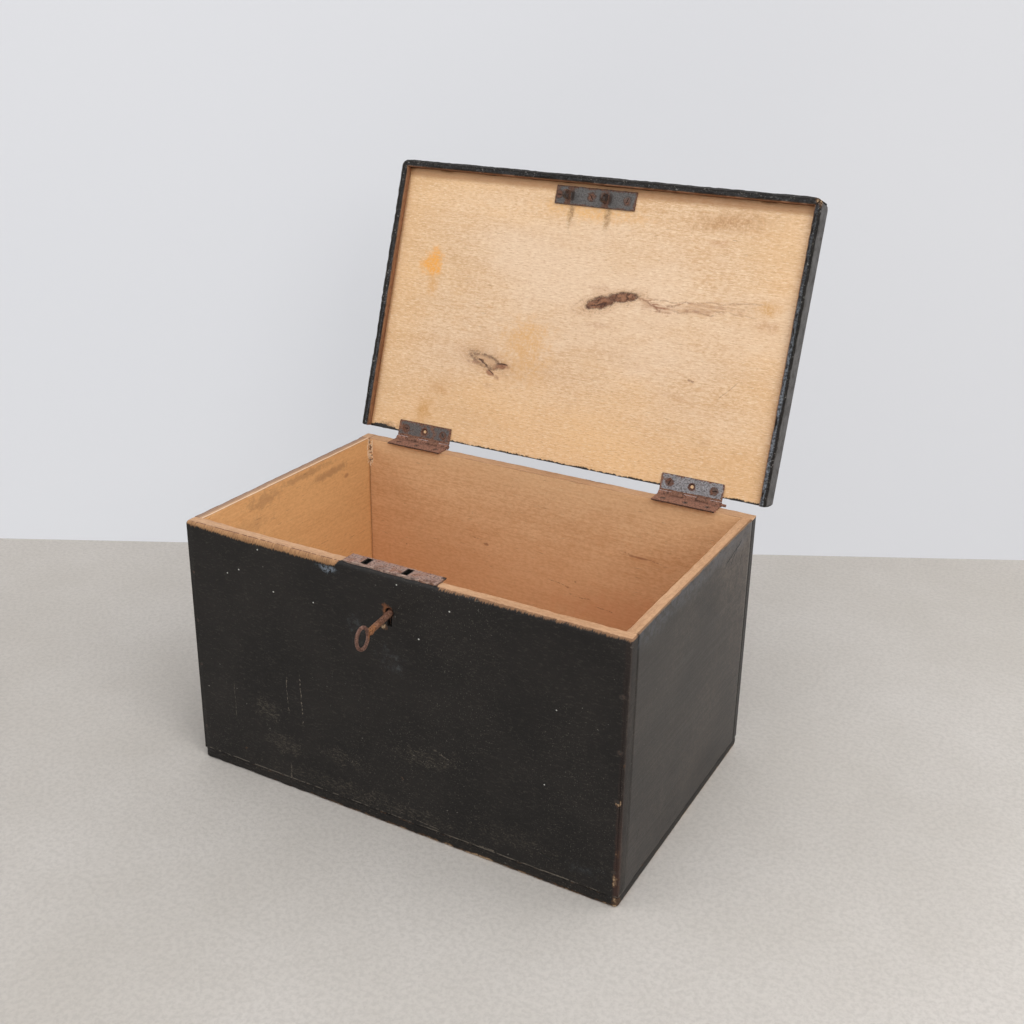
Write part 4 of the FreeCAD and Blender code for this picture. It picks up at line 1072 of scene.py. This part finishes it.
for center, radii, strength, tone, angle in (
    ((-0.19, 0.209), (0.014, 0.015), 1.25, (0.9, 0.41, 0.075), 0.0),
    ((-0.193, 0.201), (0.016, 0.012), 1.15, (0.9, 0.41, 0.075), 0.0),
    ((-0.186, 0.18), (0.011, 0.012), 0.75, (0.72, 0.38, 0.13), 0.0),
    ((-0.056, 0.137), (0.038, 0.026), 0.85, (0.76, 0.44, 0.18), 0.0),
    ((-0.05, 0.108), (0.036, 0.028), 0.75, (0.74, 0.43, 0.18), 0.0),
    ((0.154, 0.286), (0.052, 0.013), 0.95, (0.54, 0.31, 0.15), 6.0),
    ((0.149, 0.263), (0.013, 0.006), 0.45, (0.5, 0.25, 0.12), 0.0),
    ((0.211, 0.203), (0.015, 0.01), 0.85, (0.66, 0.36, 0.13), 0.0),
    ((0.212, 0.186), (0.019, 0.007), 0.65, (0.55, 0.3, 0.15), 0.0),
    ((0.131, 0.1), (0.024, 0.003), 0.4, (0.56, 0.31, 0.15), -8.0),
    ((-0.172, 0.036), (0.018, 0.013), 0.95, (0.66, 0.36, 0.13), 70.0),
    ((-0.156, 0.066), (0.014, 0.009), 0.75, (0.62, 0.33, 0.13), 0.0),
    ((-0.093, 0.078), (0.01, 0.004), 0.4, (0.52, 0.28, 0.14), 0.0),
    ((0.17, 0.06), (0.008, 0.006), 0.3, (0.5, 0.27, 0.13), 0.0),
    ((-0.22, 0.011), (0.02, 0.005), 0.9, (0.26, 0.14, 0.07), 0.0),
    ((0.028, 0.163), (0.017, 0.004), 0.45, (0.52, 0.28, 0.15), 0.0),
    ((0.024, 0.203), (0.017, 0.0045), 0.45, (0.5, 0.27, 0.15), 0.0),
    ((-0.005, 0.283), (0.07, 0.013), 0.8, (0.84, 0.48, 0.18), 0.0),
    ((-0.0262, 0.279), (0.0048, 0.02), 1.1, (0.42, 0.25, 0.12), 0.0),
    ((0.0178, 0.279), (0.0048, 0.02), 1.1, (0.42, 0.25, 0.12), 0.0),
):
    stained = grade(patch(local, center, radii, angle, 0.5, "XY"), 0.0, 1.25, strength, 0.0)
    color = tint(stained * worked, color, tone)
# A brown band under the front strip: its painted shadow.
strip_shadow_band = grade(v + ragged(local, 30.0, 0.003), 0.2985, 0.3045, 0.0, 0.75)
color = tint(strip_shadow_band, color, (0.42, 0.21, 0.09))
streaks = grade(cloud(flow, (9.0, 480.0, 1.0), 4.0, 0.6), 0.38, 0.62)
tail = blots(local, [
    ((0.09, 0.1915), (0.027, 0.0056), 1.0, -12.0, 0.45),
    ((0.083, 0.1895), (0.015, 0.006), 1.0, -10.0, 0.6),
    ((0.145, 0.196), (0.056, 0.009), 0.45, 6.0, 0.6),
], "XY")
color = tint(tail * streaks, color, (0.34, 0.135, 0.062))
lines = scratches(local, [
    ((0.066, 0.1975), (0.1, 0.1865), 0.003, 0.75), ((0.074, 0.1985), (0.122, 0.1985), 0.0016, 0.45),
    ((0.092, 0.189), (0.132, 0.2005), 0.0022, 0.55), ((0.12, 0.199), (0.214, 0.208), 0.0014, 0.38),
    ((0.105, 0.1885), (0.162, 0.1925), 0.002, 0.42), ((0.15, 0.1955), (0.205, 0.1935), 0.0012, 0.25),
    ((0.1735, 0.104), (0.1955, 0.1275), 0.0007, 0.55), ((0.139, 0.12), (0.148, 0.119), 0.0018, 0.7),
], "XY", 0.42)
color = tint(lines, color, (0.25, 0.1, 0.05))
specks = grade(cloud(local, 420.0, 2.0), 0.6, 0.68) * strongest([halo_a, halo_b, halo_c * 0.5])
color = tint(specks * 0.6, color, (0.25, 0.11, 0.06))
color = tint(halo * 0.34, color, (0.58, 0.33, 0.16))
rings = strongest([rings_a, rings_b, rings_c * 0.55])
color = tint(rings * 0.3, color, (0.36, 0.17, 0.09))
crumble = grade(cloud(local, 300.0, 5.0, 0.7, 0.6), 0.48, 0.62)
heart = strongest([heart_a, heart_b])
color = tint(heart * 0.82, color, (0.27, 0.095, 0.04))
color = tint(heart_c * 0.5, color, (0.56, 0.34, 0.19))
dark_parts = strongest([outline_a, outline_b, heart * crumble, outline_c * 0.75]) * 0.95
color = tint(dark_parts * grade(crumble, 0.0, 1.0, 0.65, 1.0), color, (0.075, 0.024, 0.012))
for center, radii, strength, tone, angle in (
    ((-0.081, 0.1015), (0.012, 0.0044), 0.9, (0.34, 0.15, 0.078), 8.0),
    ((-0.093, 0.092), (0.012, 0.0034), 0.85, (0.34, 0.15, 0.078), -22.0),
    ((-0.115, 0.1015), (0.012, 0.0028), 0.65, (0.42, 0.22, 0.13), 0.0),
):
    color = tint(blot(local, center, radii, angle, 0.6, "XY") * strength, color, tone)
cracks = strongest([scratch(local, start, end, width, "XY", 0.4) for start, end, width in (
    ((-0.114, 0.106), (-0.096, 0.099), 0.003), ((-0.088, 0.1035), (-0.072, 0.1035), 0.0014),
    ((-0.097, 0.096), (-0.088, 0.091), 0.0012), ((0.014, 0.182), (0.036, 0.189), 0.0016),
)])
color = tint(cracks, color, (0.075, 0.028, 0.016))
depth_in = along(local, "Z")
outer = fade(depth_in, lid_inner - 0.0017, lid_inner - 0.0007)
black_corner = close_to(x, -0.224, 0.03) * -0.003
low_line = v + black_corner + (ragged(local, 60.0, 0.0045) + ragged(local, 260.0, 0.006))
low_edge = fade(low_line, 0.0082, 0.0092)
painted = strongest([outer, low_edge])
relief = surface["Height"] - strongest([dark_parts, cracks]) * 2.0
scuffs, marks = handled(local, 6.5, 0.85, "XY")
arris = strongest([
    close_to(v, lid_front_v, 0.005) * 0.24,
    close_to(abs(x), lid_half_width, 0.005) * 0.24,
    low_edge * 0.16,
])
paint = black_paint(local, grain_x, arris, scuffs, scuffs * 0.34, 0.6, 0.44)
cover(paint, marks, rubbed_line)
lay_paint(shader, painted, color, relief, paint, 0.0004)


strip_outer_x, strip_outer_v = 0.249, 0.3192
corner_radius = 0.0095


def round_corners(shape, half_x, front_y, radius):
    """Rounds the lid's two front corners off, as seen from above."""
    for share in (0.1, 0.3, 0.6, 1.0):
        for side in (1.0, -1.0):
            cut_across(shape, (side * (half_x - radius * share), 0.0, 0.0), (1.0, 0.0, 0.0))
        cut_across(shape, (0.0, front_y + radius * share, 0.0), (0.0, 1.0, 0.0))
    for vert in shape.verts:
        out = Vector((max(0.0, abs(vert.co.x) - half_x + radius), max(0.0, front_y + radius - vert.co.y)))
        if out.x and out.y and out.length > radius:
            out *= radius / out.length
            vert.co.x = math.copysign(half_x - radius + out.x, vert.co.x)
            vert.co.y = front_y + radius - out.y


def worn_on_lid(name, material, step, depth, reach, seed, across, grain=110.0):
    shape = copy_of(name)
    bmesh.ops.transform(shape, matrix=to_closed, verts=shape.verts)
    if name.endswith("_lip"):
        round_corners(shape, strip_outer_x, lid_pivot.y - strip_outer_v, corner_radius)
    cut_for_wear(shape, across, step, reach)
    wear_arrises(shape, depth, reach, grain, seed)
    bmesh.ops.transform(shape, matrix=to_closed.inverted(), verts=shape.verts)
    piece = finished("worn_" + name, shape, material)
    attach(piece, "lid")
    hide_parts(name)


worn_on_lid("lid_board", material, 0.0035, 0.0012, 0.0035, 9.0, (0,), 150.0)


# The lip strips: three softwood strips nailed round the lid board's front and sides, and mitred at its
# two front corners, which are rubbed round. They are painted outside and bare brown wood inside.
def strip_material(
    name, turn, across_from, blue_grey_share, outer_highlight_grey=(0.108, 0.103, 0.101), outer_from=0.0068,
):
    """Paint outside, a blue-grey tint on the inner part of the lower face, a painted highlight along its
    outer edge and painted glints on the lower face, and bare brown wood on the strip's inner face."""
    material, shader, where = new_material(name)
    local = lid_place(where)
    across = across_from(local)
    depth_in = along(local, "Z")
    lower_face = grade(depth_in, 0.0048, 0.0052)
    blue_grey = fade(across + ragged(local, 60.0, 0.004), 0.0034, 0.0052) * lower_face
    blue_grey = blue_grey * grade(along(local, "Y"), 0.08, 0.29, blue_grey_share, blue_grey_share * 0.3)
    blue_grey = blue_grey * grade(cloud(local, 380.0, 4.0, 0.75), 0.4, 0.6, 0.1, 1.0)
    worn_corner = distance(local, (strip_outer_x - 0.001, strip_outer_v - 0.0012, 0.007))
    edge = strongest([
        grade(worn_corner, 0.004, 0.014, 0.5, 0.0),
        close_to(across, 0.0082, 0.0018) * 0.2,
        close_to(across, 0.0002, 0.0018) * 0.26,
    ])
    paint = black_paint(local, turn, edge, 0.35, blue_grey * 0.8, 0.8, 0.56)
    cover(paint, blue_grey * 0.85, (0.23, 0.262, 0.305))
    # Pale specks on the lower face: painted glints.
    painted_glints = grade(cloud(local, 500.0, 3.0, 0.6), 0.58, 0.66)
    painted_glints = painted_glints * grade(cloud(local, 90.0, 3.0), 0.4, 0.6, 0.15, 0.8)
    cover(paint, painted_glints * lower_face * 0.6, (0.4, 0.38, 0.36))
    brown_edge = close_to(across + ragged(local, 160.0, 0.0016), 0.0004, 0.0018) * 0.75
    cover(paint, brown_edge * (1.0 - blue_grey_share * 0.7), (0.12, 0.06, 0.034))
    # A grey line along the outer edge: painted highlight.
    outer_face = grade(across + ragged(local, 120.0, 0.0022), outer_from, outer_from + 0.001)
    painted_highlight = outer_face * grade(cloud(local, (60.0, 60.0, 60.0), 5.0, 0.7), 0.3, 0.6, 0.35, 0.95)
    cover(paint, painted_highlight, outer_highlight_grey)
    wood = bare_wood(local, turn, (0.34, 0.165, 0.082), (0.15, 0.068, 0.035), 1.2, 0.6, 0.1)
    inner = fade(across + ragged(local, 90.0, 0.001), 0.0003, 0.001)
    lay_paint(shader, 1.0 - inner, wood["Color"], wood["Height"], paint, 0.0006)
    shader.inputs["Specular IOR Level"].default_value = 0.22
    return material


def past_lid_front(local):
    return along(local, "Y") - lid_front_v


def past_lid_side(local):
    return abs(along(local, "X")) - lid_half_width


# The front strip's painted highlight is dimmer.
front_highlight_grey = (0.058, 0.056, 0.056)
front_strip = strip_material("front strip", grain_x, past_lid_front, 0.3, front_highlight_grey, 0.0058)
left_strip = strip_material("left strip", grain_y, past_lid_side, 0.25)
right_strip = strip_material("right strip", grain_y, past_lid_side, 1.0)
for name, material, seed, lengthways in (
    ("lid_front_lip", front_strip, 10.0, 0), ("lid_left_lip", left_strip, 11.0, 1),
    ("lid_right_lip", right_strip, 12.0, 1),
):
    worn_on_lid(name, material, 0.003, 0.0012, 0.003, seed, (lengthways,), 160.0)


# The link plate at the lid's front edge: slate-blue sheet iron, rusty round its edges, its three
# screws and its two riveted staples, which drop into the lock's slots.
plate_half = 0.048
plate_low, plate_middle, plate_high = 0.2871, 0.2974, 0.3076
material, shader, where = new_material("link plate")
local = lid_place(where)
x, v = along(local, "X"), along(local, "Y")
flat = on_plane(x, v)
screw_middles = (-0.0437, -0.0043, 0.0379)
screws = [close_to(distance(flat, (middle, plate_middle, 0.0)), 0.0, 0.0085) for middle in screw_middles]
feet = [close_to(x, middle, 0.0075) * 0.8 for middle in slot_middles]
# Painted shadows to the right of the two staples and along the plate's long edges, and dark rust rings
# round the screws.
shade = strongest([
    blot(local, (middle, plate_middle), (0.003, 0.0095), 0.0, 0.2, "XY") for middle in (-0.027, 0.0178)
])
shade = strongest([shade * 0.75] + [close_to(screw, 0.42, 0.16) * 0.5 for screw in screws])
shade = strongest([shade, close_to(v, plate_low, 0.0012) * 0.6, close_to(v, plate_high, 0.0014) * 0.6])
amount = strongest([
    strongest(screws) * 0.5, strongest(feet) * 0.46,
    close_to(v, plate_low, 0.003) * 0.34, close_to(v, plate_high, 0.004) * 0.4,
    close_to(x, -plate_half, 0.004) * 0.36, close_to(x, plate_half, 0.004) * 0.36,
    grade(x, -plate_half, -0.03, 0.16, 0.0),
])
steel, rust, shade_dark = (0.128, 0.121, 0.118), (0.145, 0.072, 0.048), (0.03, 0.017, 0.012)
rusted_iron(shader, local, steel, rust, amount - 0.05, 0.0002, 0.1, shade, shade_dark)
screw_material("link_plate_screws", True)
worn_iron("link_plate", material, 0.0024, 0.0006, 0.002, 13.0, "lid", turned=True)
staple_iron = iron_material("staple iron", (0.06, 0.042, 0.034), (0.15, 0.066, 0.034), 0.16, 0.0006)
worn_iron(
    "link_staples", staple_iron, 0.0012, 0.0004, 0.0012, 14.0, "lid", across=(0, 2),
    turned=True,
)


# The key, left in its lock: a forged pipe key with a collar and an oval bow, orange with rust, most
# on the shank's outer end. It hangs a little down in the worn keyhole.
key_x = 0.001
shank_radius, shank_length = 0.00325, 0.037
shank_end_y = -half_depth - 0.034
key_pass = Vector((key_x, -half_depth, 0.231882))
droop = Matrix.Rotation(math.radians(8.0), 4, "X")
key_tilt = Matrix.Translation(key_pass) @ droop @ Matrix.Translation(-key_pass)
key_shape = copy_of("key")
bmesh.ops.transform(key_shape, matrix=key_tilt.inverted(), verts=key_shape.verts)
bmesh.ops.bisect_plane(
    key_shape, geom=key_shape.verts[:] + key_shape.edges[:] + key_shape.faces[:], dist=0.000001,
    plane_co=(0.0, -half_depth + 0.003, 0.0), plane_no=(0.0, 1.0, 0.0), clear_inner=True,
)
shank = bmesh.ops.create_cone(
    key_shape, cap_ends=True, segments=24, radius1=shank_radius, radius2=shank_radius, depth=shank_length,
    matrix=Matrix.Translation((key_x, -half_depth - 0.0155, key_pass.z))
    @ Matrix.Rotation(math.radians(90.0), 4, "X"),
)["verts"]
shank_faces = list(dict.fromkeys(face for vert in shank for face in vert.link_faces))
shank_edges = list(dict.fromkeys(edge for face in shank_faces for edge in face.edges))
for number in range(1, 34):
    level = shank_end_y + shank_length * number / 34
    part = bmesh.ops.bisect_plane(
        key_shape, geom=shank + shank_edges + shank_faces, dist=0.000001,
        plane_co=(0.0, level, 0.0), plane_no=(0.0, 1.0, 0.0),
    )
    shank = [item for item in part["geom"] if isinstance(item, bmesh.types.BMVert)]
    shank_edges = [item for item in part["geom"] if isinstance(item, bmesh.types.BMEdge)]
    shank_faces = [item for item in part["geom"] if isinstance(item, bmesh.types.BMFace)]
for vert in shank:
    out = vert.co - Vector((key_x, vert.co.y, key_pass.z))
    from_end = vert.co.y - shank_end_y
    collar = 0.17 * math.exp(-((from_end - 0.0033) / 0.0013) ** 2)
    neck = -0.22 * math.exp(-(from_end / 0.0016) ** 2)
    lump = 0.05 * noise.noise(vert.co * 260.0) + 0.03 * noise.noise(vert.co * 900.0) - 0.05
    vert.co += out * (collar + neck + lump)
bow = bmesh.ops.create_circle(key_shape, segments=14, radius=0.00158)["verts"]
bow_edges = list(dict.fromkeys(edge for vert in bow for edge in vert.link_edges))
bow_middle = Vector((key_x, -half_depth - 0.0425, key_pass.z))
bmesh.ops.translate(key_shape, verts=bow, vec=bow_middle + Vector((0.0, 0.00945, 0.0)))
before = set(key_shape.verts) - set(bow)
bmesh.ops.spin(
    key_shape, geom=list(bow) + bow_edges, cent=bow_middle, axis=(1.0, 0.0, 0.0), dvec=(0.0, 0.0, 0.0),
    angle=math.radians(360.0), steps=48, use_merge=True, use_duplicate=False,
)
ring = [vert for vert in key_shape.verts if vert not in before]
oval = Matrix.Diagonal((1.0, 0.895, 1.125, 1.0))
stretch_ring = Matrix.Translation(bow_middle) @ oval @ Matrix.Translation(-bow_middle)
bmesh.ops.transform(key_shape, matrix=stretch_ring, verts=ring)
key_shape.normal_update()
for vert in ring:
    lump = 0.00012 * noise.noise(vert.co * 330.0) + 0.00008 * noise.noise(vert.co * 1100.0) - 0.0001
    vert.co += vert.normal * lump
bmesh.ops.recalc_face_normals(key_shape, faces=key_shape.faces)
bmesh.ops.transform(key_shape, matrix=key_tilt, verts=key_shape.verts)
material, shader, where = new_material("rusted key")
out_y = along(where, "Y") * -1.0
bright = grade(out_y, half_depth + 0.012, half_depth + 0.032)
bow_part = grade(out_y, half_depth + 0.0335, half_depth + 0.0355)
fine = grade(cloud(where, 560.0, 5.0, 0.75), 0.42, 0.62)
coarse = grade(cloud(where, 230.0, 4.0, 0.6), 0.4, 0.6)
color = tint(bright, (0.235, 0.105, 0.06), (0.44, 0.18, 0.06))
color = tint(bow_part, color, (0.235, 0.12, 0.088))
color = tint(coarse * 0.4, color, (0.36, 0.2, 0.145))
color = tint(fine * 0.7, color, (0.075, 0.028, 0.016))
finish(shader, color, blend(fine, 0.55, 0.85), fine, 0.0005)
shader.inputs["Metallic"].default_value = 0.15
key = finished("forged_key", key_shape, material, 45.0)
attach(key, "key")
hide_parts("key")
